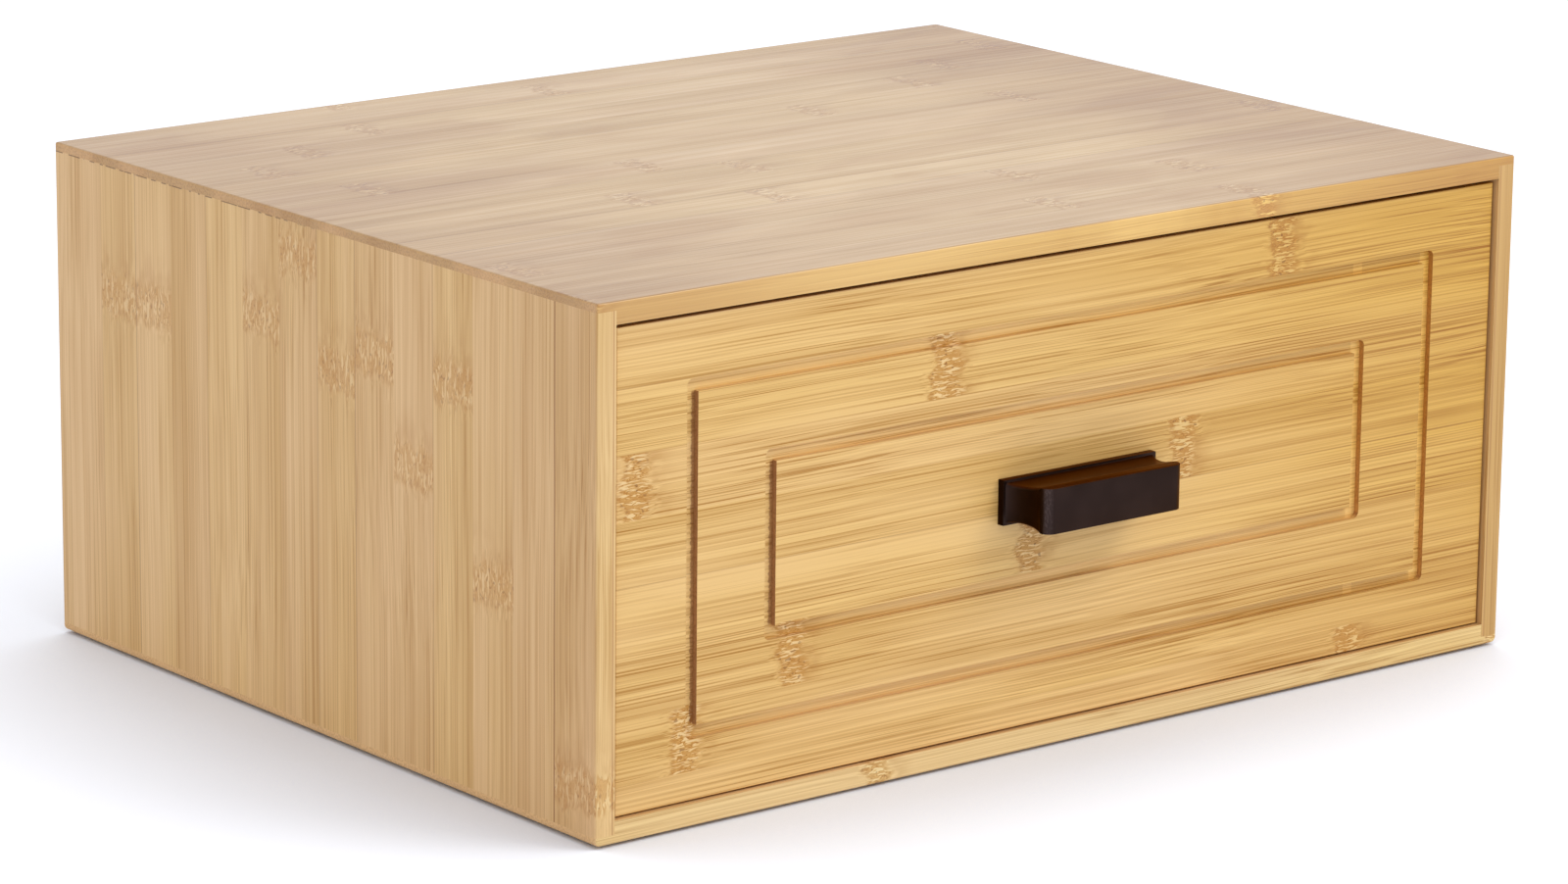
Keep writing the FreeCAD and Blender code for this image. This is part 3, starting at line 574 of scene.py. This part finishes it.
# ---------------------------------------------------------------- modelling tools
def deselect_all():
    if bpy.context.mode != "OBJECT":
        bpy.ops.object.mode_set(mode="OBJECT")
    bpy.ops.object.select_all(action="DESELECT")


def choose(piece, kind, test):
    """In edit mode, select only the faces or edges that pass the test, of which there must be some."""
    bpy.ops.object.mode_set(mode="OBJECT")
    mesh = piece.data
    for group in (mesh.vertices, mesh.edges, mesh.polygons):
        group.foreach_set("select", [False] * len(group))
    parts = mesh.polygons if kind == "FACE" else mesh.edges
    bpy.ops.object.mode_set(mode="EDIT")
    bpy.ops.mesh.select_mode(type=kind)
    bpy.ops.mesh.select_all(action="DESELECT")
    bpy.ops.object.mode_set(mode="OBJECT")
    passed = [part for part in parts if test(mesh, part)]
    if not passed:
        raise RuntimeError(f"nothing to shape on {piece.name}")
    for part in passed:
        part.select = True
    bpy.ops.object.mode_set(mode="EDIT")


def finish_mesh():
    """Back to object mode, with the active piece's place in its mesh."""
    bpy.ops.object.mode_set(mode="OBJECT")
    bpy.ops.object.transform_apply(location=True, rotation=True, scale=True)


def edge_ends(mesh, edge):
    return [mesh.vertices[index].co for index in edge.vertices]


def arc_dip(place, length, dip):
    """How far a shallow arc lies below its chord, at place from 0 to 1 along the chord."""
    radius = (length * length / 4 + dip * dip) / (2 * dip)
    offset = (place - 0.5) * length
    return math.sqrt(radius * radius - offset * offset) - (radius - dip)


def channel_depth(distance, lowest, dip):
    """Depth of the neck's channel at a distance behind the bar, deepest at the lowest place."""
    radius = (lowest * lowest + dip * dip) / (2 * dip)
    return dip - radius + math.sqrt(radius * radius - (distance - lowest) ** 2)


# ---------------------------------------------------------------- boards
def tint_side_panel(maker, axes, colour):
    """A side panel: darker first strip with its seam, black dashes under the lip, golden front edge."""
    from_front = maker.math("SUBTRACT", axes["Y"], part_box("left_side_panel")[0].y)
    facing_side = maker.fade(maker.size_of(axes["facing"]["X"]), 0.6, 0.85)
    strip = bpy.context.scene.breadbox_bamboo.strip_width
    first = maker.product(maker.fade(from_front, strip + 0.1 * MM, strip - 0.1 * MM), facing_side)
    to_seam = maker.size_of(maker.math("SUBTRACT", from_front, strip))
    seam = maker.product(maker.fade(to_seam, 0.5 * MM, 0.2 * MM), facing_side, 0.6)
    rosy = maker.tinted(colour, (0.93, 0.90, 0.90))
    brown = maker.tinted(colour, (0.68, 0.55, 0.46))
    colour = maker.blend(first, colour, rosy)
    colour = maker.blend(seam, colour, brown)

    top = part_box("left_side_panel")[1].z
    near_top = maker.fade(axes["Z"], top - 0.5 * MM, top - 0.2 * MM)
    dashes = maker.fade(maker.noise(axes["place"], (1, 260, 1), detail=1.0), 0.46, 0.52)
    dashes = maker.product(dashes, near_top, maker.fade(from_front, 0.13, 0.19), facing_side)
    colour = maker.blend(dashes, colour, maker.tinted(colour, (0.30, 0.24, 0.18)))
    colour = gild_front_edge(maker, axes, colour, (1.07, 1.14, 1.14), (0.80, 0.74, 0.56))

    # The line between the panel's two layers shows on its front edge.
    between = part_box("right_side_panel")[1].x - OUTER_LAYER
    from_line = maker.size_of(maker.math("SUBTRACT", maker.size_of(axes["X"]), between))
    facing_front = maker.fade(axes["facing"]["Y"], -0.6, -0.85)
    line = maker.product(maker.fade(from_line, 0.32 * MM, 0.08 * MM), facing_front)
    return maker.blend(line, colour, brown)


def tint_top(maker, axes, colour):
    """The top: browner towards its ends as painted shade, mottled with painted sheen, with patchy lips and
    a golden front edge.
    """
    # Painted shade: the top is browner towards its ends, most at the right end, so that its middle reads as
    # lit by a sheen.
    wandering = maker.centred_noise(axes["place"], (8, 30, 1), 0.16, detail=2.0)
    from_middle = maker.math("ADD", maker.size_of(axes["X"]), wandering)
    mottle = maker.noise(axes["place"], (10, 30, 1), detail=3.0, distortion=0.8)
    for mask, tint in (
        (maker.fade(from_middle, 0.05, 0.19), (0.82, 0.74, 0.64)),
        (maker.fade(axes["X"], 0.07, 0.2), (0.90, 0.84, 0.68)),
    ):
        colour = maker.blend(mask, colour, maker.tinted(colour, tint))
    # The mottle has darker smudges of the wood, and paler, bluer patches that are a painted sheen.
    smudged = maker.tinted(colour, (0.90, 0.83, 0.72))
    painted_sheen = maker.tinted(colour, (1.07, 1.09, 1.14))
    colour = maker.blend(maker.fade(mottle, 0.50, 0.66), colour, smudged)
    colour = maker.blend(maker.fade(mottle, 0.48, 0.36), colour, painted_sheen)

    patches = maker.fade(maker.noise(axes["place"], (1, 34, 1), detail=1.0), 0.44, 0.56)
    patchy = maker.blend(patches, (1.12, 1.12, 0.98, 1.0), (1.32, 1.32, 1.28, 1.0))
    lip = maker.fade(maker.size_of(axes["facing"]["X"]), 0.6, 0.85)
    colour = maker.blend(lip, colour, maker.blend(1.0, colour, patchy, kind="MULTIPLY"))
    return gild_front_edge(maker, axes, colour, (1.40, 1.40, 1.02), (1.36, 1.28, 0.64))


class BREADBOX_OT_case(bpy.types.Operator):
    """Give the boards of the case their bamboo"""

    bl_idname = "breadbox.case"
    bl_label = "Case Boards"

    def execute(self, context):
        wood = context.scene.breadbox_bamboo
        left, front = CAD_BOX[0].x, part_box("left_side_panel")[0].y
        pale, deep = tuple(wood.case_light), tuple(wood.case_deep)
        for name, seed, places in (
            ("left_side_panel", 2.0, SIDE_KNUCKLES), ("right_side_panel", 5.0, SIDE_KNUCKLES[::-1]),
        ):
            dress([name], bamboo_material(
                name + "_bamboo", "Z", "Y", front, 0.0, pale, deep, wood.strip_width, seed=seed,
                places=places, knuckle_size=7.5 * MM, knuckle_strength=0.68, fibre=0.75,
                tune=tint_side_panel,
            ))
        top_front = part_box("top_panel")[0].y
        dress(["top_panel"], bamboo_material(
            "top_bamboo", "X", "Y", top_front, left, shaded(pale, 0.76), shaded(deep, 0.76),
            wood.top_strip_width, seed=3.0, places=TOP_KNUCKLES, spacing=0.285, knuckle_strength=0.9,
            fibre=0.6, coat=0.52, tune=tint_top,
        ))
        dress(["bottom_panel"], bamboo_material(
            "bottom_bamboo", "X", "Y", top_front, left, pale, deep, wood.top_strip_width,
            seed=11.0, places=TOP_KNUCKLES[::-1], spacing=0.285,
            tune=partial(gild_front_edge, left_gold=(1.06, 1.17, 1.16), right_gold=(1.08, 1.20, 1.18)),
        ))
        return {"FINISHED"}


class BREADBOX_OT_inside(bpy.types.Operator):
    """Give the back panel, the guide strips, the stop blocks and the dowels their bamboo"""

    bl_idname = "breadbox.inside"
    bl_label = "Back, Guides, Stops and Dowels"

    def execute(self, context):
        wood = context.scene.breadbox_bamboo
        pale, deep = tuple(wood.inner_light), tuple(wood.inner_deep)
        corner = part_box("back_panel")[0]
        dress(["back_panel"], bamboo_material(
            "back_bamboo", "X", "Z", corner.z, corner.x, pale, deep, wood.strip_width,
            seed=6.0, spacing=0.33,
        ))
        for kind, along, across, seed, glue in (
            ("guide", "Y", "Z", 8.0, 1.0), ("stop", "Z", "X", 9.0, 1.0), ("dowel", "Y", "X", 10.0, 0.0),
        ):
            names = [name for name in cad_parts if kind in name]
            dress(names, bamboo_material(
                kind + "_bamboo", along, across, 0.0, 0.0, pale, deep, wood.strip_width,
                seed=seed, spacing=0.33, glue=glue,
            ))
        return {"FINISHED"}


def routed_rectangles():
    """Each routed rectangle's uprights, as a distance from the middle, and its lowest and highest line."""
    low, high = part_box("drawer_front")
    return [(high.x - side, low.z + rise, high.z - rise) for side, rise in ROUTED_INSETS]


def painted_groove_shadow(maker, axes):
    """Painted shadow: a ragged dark band beside the right wall of the uprights at the left."""
    cast_shadow = 0.0
    ragged = maker.centred_noise(axes["place"], (1, 1, 900), 1.6 * MM, detail=1.0)
    for reach, low, high in routed_rectangles():
        above = maker.fade(axes["Z"], low + 2 * MM, low + 3 * MM)
        below = maker.fade(axes["Z"], high - 2 * MM, high - 3 * MM)
        from_wall = maker.math("SUBTRACT", LINE_WIDTH / 2 - reach, axes["X"])
        from_wall = maker.math("ADD", from_wall, ragged)
        inner, outer = maker.fade(from_wall, 1.5 * MM, 0.9 * MM), maker.fade(from_wall, -2 * MM, -1.5 * MM)
        cast_shadow = maker.math("MAXIMUM", cast_shadow, maker.product(inner, outer, above, below))
    return cast_shadow


def tint_drawer_front(maker, axes, colour):
    """The drawer front: golden to the right as painted light, painted shade along its top edge, brown walls
    with painted shade in the routed lines.
    """
    front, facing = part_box("drawer_front"), axes["facing"]
    # Painted light: paler to the left and more golden to the right, in place of a sheen that is stronger on
    # the left.
    height = maker.math("SUBTRACT", axes["Z"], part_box("top_panel")[1].z / 2)
    place = maker.math("MULTIPLY_ADD", height, 0.9, axes["X"])
    place = maker.math("ADD", place, maker.centred_noise(axes["place"], (3, 40, 60), 0.14, detail=1.0))
    golden = maker.tinted(colour, (0.84, 0.74, 0.34))
    colour = maker.blend(maker.fade(place, -0.04, 0.23), colour, golden)
    # Painted shade: the top edge is darkened because it lies in the gap under the top panel.
    near_top = maker.fade(axes["Z"], front[1].z - 7.5 * MM, front[1].z - 3.5 * MM)
    gap_shade_edge = maker.product(maker.fade(facing["Z"], 0.6, 0.85), near_top)
    colour = maker.blend(gap_shade_edge, colour, maker.tinted(colour, (0.66, 0.50, 0.38)))

    # Masks of the routed lines: their walls that look sideways, down and up, and their floor with walls.
    depth = maker.math("SUBTRACT", axes["Y"], front[0].y)
    front_half = maker.fade(depth, 2.8 * MM, 2.5 * MM)
    past_lines = front[1].x - 11.2 * MM
    inner = maker.product(maker.fade(maker.size_of(axes["X"]), past_lines, past_lines - 4 * MM), front_half)
    facing_out = maker.fade(facing["Y"], -0.7, -0.9)
    wall = maker.product(inner, maker.math("SUBTRACT", 1.0, facing_out))
    side_wall = maker.product(wall, axes["end grain"])
    under = maker.product(wall, maker.fade(facing["Z"], -0.3, -0.7))
    over = maker.product(inner, maker.fade(facing["Z"], 0.05, 0.4))
    routed = maker.product(inner, maker.fade(depth, 0.3 * MM, 1.0 * MM))

    # The routed wood is paler, partly as fresh-cut wood and partly as painted light that lifts the shade
    # inside the lines.
    colour = maker.blend(routed, colour, maker.tinted(colour, (1.09, 1.12, 1.17)))
    # Painted shade: walls that look down are darkened as if shaded by the edge above, and walls that look
    # up are toned down where they catch the light.
    under_tint = maker.tinted(colour, (0.80, 0.71, 0.66))
    painted_shade_brown = maker.tinted(colour, (0.52, 0.40, 0.37))
    colour = maker.blend(over, colour, maker.tinted(colour, (0.86, 0.84, 0.95)))
    colour = maker.blend(under, colour, under_tint)
    # Beside the right uprights the floor is paler still, partly as fresh-cut wood and partly as a painted
    # highlight.
    pale_lit_floor = maker.tinted(colour, (1.18, 1.22, 1.36))
    floor = maker.product(routed, facing_out)
    for right_upright, *_ in routed_rectangles():
        from_line = maker.size_of(maker.math("SUBTRACT", axes["X"], right_upright))
        upright = maker.fade(from_line, LINE_WIDTH / 2 + 0.1 * MM, LINE_WIDTH / 2 - 0.3 * MM)
        colour = maker.blend(maker.product(upright, floor), colour, pale_lit_floor)
    # Painted shadow beside the right wall of the left uprights.
    colour = maker.blend(maker.product(painted_groove_shadow(maker, axes), routed), colour, painted_shade_brown)
    # Side walls of the uprights: darker as end grain and with painted shade, darkest on the left.
    brown = maker.tinted(colour, (0.74, 0.60, 0.50))
    to_right = maker.fade(axes["X"], -0.1, 0.1)
    return maker.blend(side_wall, colour, maker.blend(to_right, painted_shade_brown, brown))


class BREADBOX_OT_drawer(bpy.types.Operator):
    """Give the drawer front and the drawer box their bamboo"""

    bl_idname = "breadbox.drawer"
    bl_label = "Drawer"

    def execute(self, context):
        wood = context.scene.breadbox_bamboo
        left = CAD_BOX[0].x
        dress(["drawer_front"], bamboo_material(
            "front_bamboo", "X", "Z", FIRST_FRONT_SEAM, left,
            tuple(wood.front_light), tuple(wood.front_deep), wood.front_strip_width,
            seed=4.0, places=FRONT_KNUCKLES, knuckle_size=6 * MM, curl=1650.0, glue=0.5,
            tune=tint_drawer_front,
        ))
        pale, deep = tuple(wood.inner_light), tuple(wood.inner_deep)
        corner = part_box("drawer_left_side")[0]
        for kind, names, along, across, across_start, along_start, seed in (
            ("drawer_side", ["drawer_left_side", "drawer_right_side"], "Y", "Z", corner.z, corner.y, 12.0),
            ("drawer_back", ["drawer_back"], "X", "Z", corner.z, left, 13.0),
            ("drawer_bottom", ["drawer_bottom"], "X", "Y", corner.y, left, 14.0),
        ):
            dress(names, bamboo_material(
                kind + "_bamboo", along, across, across_start, along_start, pale, deep, wood.strip_width,
                seed=seed, spacing=0.31,
            ))
        return {"FINISHED"}


# ---------------------------------------------------------------- handle
def handle_rings(sizes, low, high):
    """Place, width and height of each ring: the foot's step, along the hollow neck, the bar's front."""
    length, height = high.x - low.x, high.z - low.z
    rear = high.y - sizes.foot_thickness
    neck = rear - (low.y + sizes.bar_thickness)
    wide, narrow = length - 2 * sizes.foot_step, sizes.bar_length
    rings = []
    for index in range(sizes.neck_rings + 1):
        share = index / sizes.neck_rings
        ring_width = wide + (narrow - wide) * share - 2 * arc_dip(share, neck, sizes.side_dip)
        ring_height = height - 2 * channel_depth(neck * (1 - share), sizes.neck_low, sizes.top_dip)
        rings.append((rear - neck * share, ring_width, ring_height))
    rings.append((low.y, narrow, height))
    return rings


class BREADBOX_OT_handle(bpy.types.Operator):
    """Model the bar handle with its hollow neck"""

    bl_idname = "breadbox.handle"
    bl_label = "Handle"

    def execute(self, context):
        sizes = context.scene.breadbox_handle
        low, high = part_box("handle")
        middle = (low + high) / 2
        length, height = high.x - low.x, high.z - low.z
        rear = high.y - sizes.foot_thickness
        bar_rear = low.y + sizes.bar_thickness
        deselect_all()
        foot_middle = (middle.x, high.y - sizes.foot_thickness / 2, middle.z)
        bpy.ops.mesh.primitive_cube_add(size=1, location=foot_middle)
        piece = context.object
        piece.name = "bronze_handle"
        piece.scale = (length, sizes.foot_thickness, height)
        bpy.ops.object.transform_apply(location=True, rotation=True, scale=True)

        def front_face(mesh, face):
            return face.normal.y < -0.99 and face.center.y < rear + CLOSE

        def neck_edge(mesh, edge):
            """The four long edges of the neck."""
            first, second = sorted(end.y for end in edge_ends(mesh, edge))
            return second - first > CLOSE and first > bar_rear - CLOSE and second < rear + CLOSE

        def bar_corner(mesh, edge):
            """The upright corners at the front of the bar."""
            first, second = edge_ends(mesh, edge)
            return max(first.y, second.y) < low.y + CLOSE and abs(first.z - second.z) > height / 2

        choose(piece, "FACE", front_face)
        last_y, last_width, last_height = rear, length, height
        for y, ring_width, ring_height in handle_rings(sizes, low, high):
            bpy.ops.mesh.extrude_region_move(TRANSFORM_OT_translate={"value": (0, y - last_y, 0)})
            bpy.ops.transform.resize(
                value=(ring_width / last_width, 1, ring_height / last_height),
                center_override=(middle.x, y, middle.z),
            )
            last_y, last_width, last_height = y, ring_width, ring_height
        choose(piece, "EDGE", neck_edge)
        bpy.ops.mesh.bevel(offset=sizes.neck_round, segments=4, affect="EDGES", clamp_overlap=True)
        choose(piece, "EDGE", bar_corner)
        bpy.ops.mesh.bevel(offset=sizes.bar_round, segments=8, affect="EDGES", clamp_overlap=True)
        finish_mesh()
        soften = piece.modifiers.new("Soft edges", "BEVEL")
        soften.width = sizes.edge_round
        soften.segments = 2
        soften.limit_method = "ANGLE"
        soften.angle_limit = math.radians(38)
        bpy.ops.object.modifier_apply(modifier=soften.name)
        bpy.ops.object.shade_smooth_by_angle(angle=math.radians(35))
        piece.data.materials.append(bronze_material(tuple(sizes.bronze)))
        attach(piece, "drawer")
        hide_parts("handle")
        return {"FINISHED"}


def bronze_material(bronze):
    """Dark bronze finish: satin metal, slightly uneven, with fine brush marks and painted light: a warm
    reflection on top, shade on the ends, highlights on the corners.
    """
    material, maker, shader = new_material("dark_bronze")
    coordinates = maker.node("ShaderNodeTexCoord").outputs
    place = coordinates["Object"]
    facing = maker.node("ShaderNodeSeparateXYZ", {0: coordinates["Normal"]}).outputs
    cloud = maker.noise(place, (60, 60, 60), detail=2.0)
    grain = maker.noise(place, (2400, 2400, 2400), detail=1.0)
    brush = maker.noise(place, (70, 1500, 1500), detail=1.0)
    dark, light = rgba(shaded(bronze, 0.80)), rgba(shaded(bronze, 1.05))
    colour = maker.blend(maker.fade(cloud, 0.35, 0.7), dark, light)
    # Painted reflection: faces that look up are lighter and warmer, as if they mirrored the wood behind.
    colour = maker.blend(maker.fade(facing[2], 0.35, 0.8), colour, maker.tinted(colour, (1.80, 1.07, 0.64)))
    sideways = maker.size_of(facing[0])
    # Painted shade: the ends, which look sideways, are darker.
    colour = maker.blend(maker.fade(sideways, 0.88, 1.0), colour, maker.tinted(colour, (0.5, 0.42, 0.35)))

    # Painted highlight: the rounded corners of the bar are lighter in specks.
    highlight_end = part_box("handle")[0].y + HIGHLIGHT_DEPTH
    depth = maker.node("ShaderNodeSeparateXYZ", {0: place}).outputs[1]
    corner = maker.product(
        maker.fade(sideways, 0.2, 0.6), maker.fade(facing[1], -0.02, -0.45),
        maker.fade(depth, highlight_end, highlight_end - MM),
    )
    specks = maker.fade(maker.noise(place, (1800, 1800, 900), detail=1.0), 0.46, 0.66, 0.35, 1.0)
    corner_highlight = maker.tinted(colour, (2.3, 2.55, 2.7))
    colour = maker.blend(maker.product(corner, specks), colour, corner_highlight)
    maker.feed(shader.inputs["Base Color"], colour)
    rough = maker.weighed((cloud, 0.10), (brush, 0.10))
    maker.feed(shader.inputs["Roughness"], maker.math("ADD", 0.25, rough))
    relief = maker.node("ShaderNodeBump", {"Height": grain, "Strength": 0.15, "Distance": 0.04 * MM})
    maker.feed(shader.inputs["Normal"], relief.outputs[0])
    shader.inputs["Specular Tint"].default_value = (0.80, 0.58, 0.42, 1.0)
    shader.inputs["Metallic"].default_value = 1.0
    return material


# ---------------------------------------------------------------- screws and feet
def steel_material():
    """Zinc-plated steel with cloudy patches."""
    material, maker, shader = new_material("zinc_steel")
    place = maker.node("ShaderNodeTexCoord").outputs["Object"]
    cloud = maker.noise(place, (300, 300, 300), detail=3.0)
    bright, dark = rgba((0.56, 0.56, 0.55)), rgba((0.40, 0.41, 0.42))
    maker.feed(shader.inputs["Base Color"], maker.blend(maker.fade(cloud, 0.35, 0.65), bright, dark))
    maker.feed(shader.inputs["Roughness"], maker.fade(cloud, 0.3, 0.7, 0.26, 0.42))
    shader.inputs["Metallic"].default_value = 1.0
    return material


def rubber_material():
    """Dark grey rubber with a fine grain."""
    material, maker, shader = new_material("grey_rubber")
    place = maker.node("ShaderNodeTexCoord").outputs["Object"]
    speck = maker.noise(place, (1400, 1400, 1400), detail=2.0)
    dark, light = rgba((0.035, 0.034, 0.033)), rgba((0.060, 0.058, 0.056))
    maker.feed(shader.inputs["Base Color"], maker.blend(maker.fade(speck, 0.4, 0.65), dark, light))
    maker.feed(shader.inputs["Roughness"], maker.fade(speck, 0.3, 0.7, 0.62, 0.78))
    relief = maker.node("ShaderNodeBump", {"Height": speck, "Strength": 0.3, "Distance": 0.05 * MM})
    maker.feed(shader.inputs["Normal"], relief.outputs[0])
    return material


class BREADBOX_OT_fittings(bpy.types.Operator):
    """Give the screws, the washers and the rubber feet their finish"""

    bl_idname = "breadbox.fittings"
    bl_label = "Screws and Feet"

    def execute(self, context):
        dress([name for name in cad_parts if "screw" in name or "washer" in name], steel_material())
        dress([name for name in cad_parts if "foot" in name], rubber_material())
        return {"FINISHED"}


# ---------------------------------------------------------------- studio
def add_camera(studio):
    """The camera, aimed at its target and rolled about its line of sight."""
    place, target = Vector(studio.camera_place), Vector(studio.camera_target)
    aim = (target - place).to_track_quat("-Z", "Y") @ Quaternion((0, 0, 1), studio.camera_roll)
    bpy.ops.object.camera_add(location=place, rotation=aim.to_euler())
    camera = bpy.context.object
    camera.name = "studio_camera"
    camera.data.sensor_width = 36
    camera.data.sensor_fit = "HORIZONTAL"
    camera.data.lens = studio.focal_length
    camera.data.clip_start = 0.05
    camera.data.clip_end = 60
    bpy.context.scene.camera = camera


def floor_material(glow, reach):
    """White floor that glows where it is seen, directly or in a reflection.

    The glow fades within reach of what stands on the floor, which paints a deeper shadow there.
    """
    material = bpy.data.materials.new("studio_floor_white")
    material.use_nodes = True
    material.node_tree.nodes.clear()
    maker = NodeMaker(material.node_tree)
    place = maker.node("ShaderNodeTexCoord").outputs["Object"]
    cloud = maker.noise(place, (3, 3, 3), detail=2.0)
    paper = maker.blend(cloud, (0.78, 0.80, 0.87, 1), (0.82, 0.84, 0.91, 1))
    matt = maker.node("ShaderNodeBsdfDiffuse", {"Color": paper})
    openness = maker.node("ShaderNodeAmbientOcclusion", {"Distance": reach}, samples=12).outputs["AO"]
    strength = maker.product(maker.fade(openness, 0.40, 0.97), glow, maker.seen_rays())
    light = maker.node("ShaderNodeEmission", {"Color": (0.97, 0.97, 1.0, 1), "Strength": strength})
    both = maker.node("ShaderNodeAddShader", {0: matt.outputs[0], 1: light.outputs[0]})
    maker.node("ShaderNodeOutputMaterial", {"Surface": both.outputs[0]})
    return material


def add_floor(studio):
    """A wide floor with rounded corners, level with the underside of the feet."""
    bpy.ops.mesh.primitive_plane_add(size=studio.floor_size, location=(0, 0, CAD_BOX[0].z))
    floor = bpy.context.object
    floor.name = "studio_floor"
    bpy.ops.object.mode_set(mode="EDIT")
    bpy.ops.mesh.bevel(offset=studio.floor_size / 4, segments=12, affect="VERTICES")
    finish_mesh()
    floor.data.materials.append(floor_material(studio.floor_white, studio.shadow_reach))


def add_key_lamp(studio):
    """The large soft lamp."""
    place, target = Vector(studio.key_place), Vector(studio.key_target)
    turn = (target - place).to_track_quat("-Z", "Y").to_euler()
    bpy.ops.object.light_add(type="AREA", location=place, rotation=turn)
    lamp = bpy.context.object
    lamp.name = "key_lamp"
    lamp.data.shape = "DISK"
    lamp.data.size = studio.key_size
    lamp.data.energy = studio.key_power
    lamp.data.color = (1, 0.985, 0.955)


def studio_world(sky_strength):
    """Even light from all sides, and white where it is seen, directly or in a reflection."""
    world = bpy.data.worlds.new("studio_light")
    world.use_nodes = True
    world.node_tree.nodes.clear()
    maker = NodeMaker(world.node_tree)
    sky = maker.node("ShaderNodeBackground", {"Color": (0.95, 0.98, 1.0, 1.0), "Strength": sky_strength})
    white = maker.node("ShaderNodeBackground", {"Color": (1.0, 1.0, 1.0, 1.0), "Strength": 1.0})
    seen = maker.seen_rays()
    light = maker.node("ShaderNodeMixShader", {0: seen, 1: sky.outputs[0], 2: white.outputs[0]})
    maker.node("ShaderNodeOutputWorld", {"Surface": light.outputs[0]})
    return world


class BREADBOX_OT_studio(bpy.types.Operator):
    """Add the camera, the pale floor and the soft light"""

    bl_idname = "breadbox.studio"
    bl_label = "Studio"

    def execute(self, context):
        studio = context.scene.breadbox_studio
        for add in (add_camera, add_floor, add_key_lamp):
            deselect_all()
            add(studio)
        context.scene.world = studio_world(studio.sky)
        context.scene.view_settings.view_transform = "Standard"
        return {"FINISHED"}


# ---------------------------------------------------------------- add-on
class BREADBOX_PT_panel(bpy.types.Panel):
    bl_idname = "BREADBOX_PT_panel"
    bl_label = "Bread Box with Drawer"
    bl_space_type = "VIEW_3D"
    bl_region_type = "UI"
    bl_category = "Bread Box"

    def draw(self, context):
        layout = self.layout
        for operator in OPERATORS:
            layout.operator(operator.bl_idname)
        for name in ("breadbox_bamboo", "breadbox_handle", "breadbox_studio"):
            settings = getattr(context.scene, name)
            box = layout.box()
            for label in settings.bl_rna.properties.keys():
                if label not in ("rna_type", "name"):
                    box.prop(settings, label)


OPERATORS = (
    BREADBOX_OT_case,
    BREADBOX_OT_inside,
    BREADBOX_OT_drawer,
    BREADBOX_OT_handle,
    BREADBOX_OT_fittings,
    BREADBOX_OT_studio,
)
SETTINGS = (BambooSettings, HandleSettings, StudioSettings)


def register():
    for kind in (*SETTINGS, *OPERATORS, BREADBOX_PT_panel):
        bpy.utils.register_class(kind)
    bpy.types.Scene.breadbox_bamboo = PointerProperty(type=BambooSettings)
    bpy.types.Scene.breadbox_handle = PointerProperty(type=HandleSettings)
    bpy.types.Scene.breadbox_studio = PointerProperty(type=StudioSettings)


def unregister():
    del bpy.types.Scene.breadbox_studio
    del bpy.types.Scene.breadbox_handle
    del bpy.types.Scene.breadbox_bamboo
    for kind in reversed((*SETTINGS, *OPERATORS, BREADBOX_PT_panel)):
        bpy.utils.unregister_class(kind)


def main():
    register()
    bpy.ops.breadbox.studio()
    bpy.ops.breadbox.case()
    bpy.ops.breadbox.inside()
    bpy.ops.breadbox.drawer()
    bpy.ops.breadbox.handle()
    bpy.ops.breadbox.fittings()


if __name__ == "__main__":
    main()
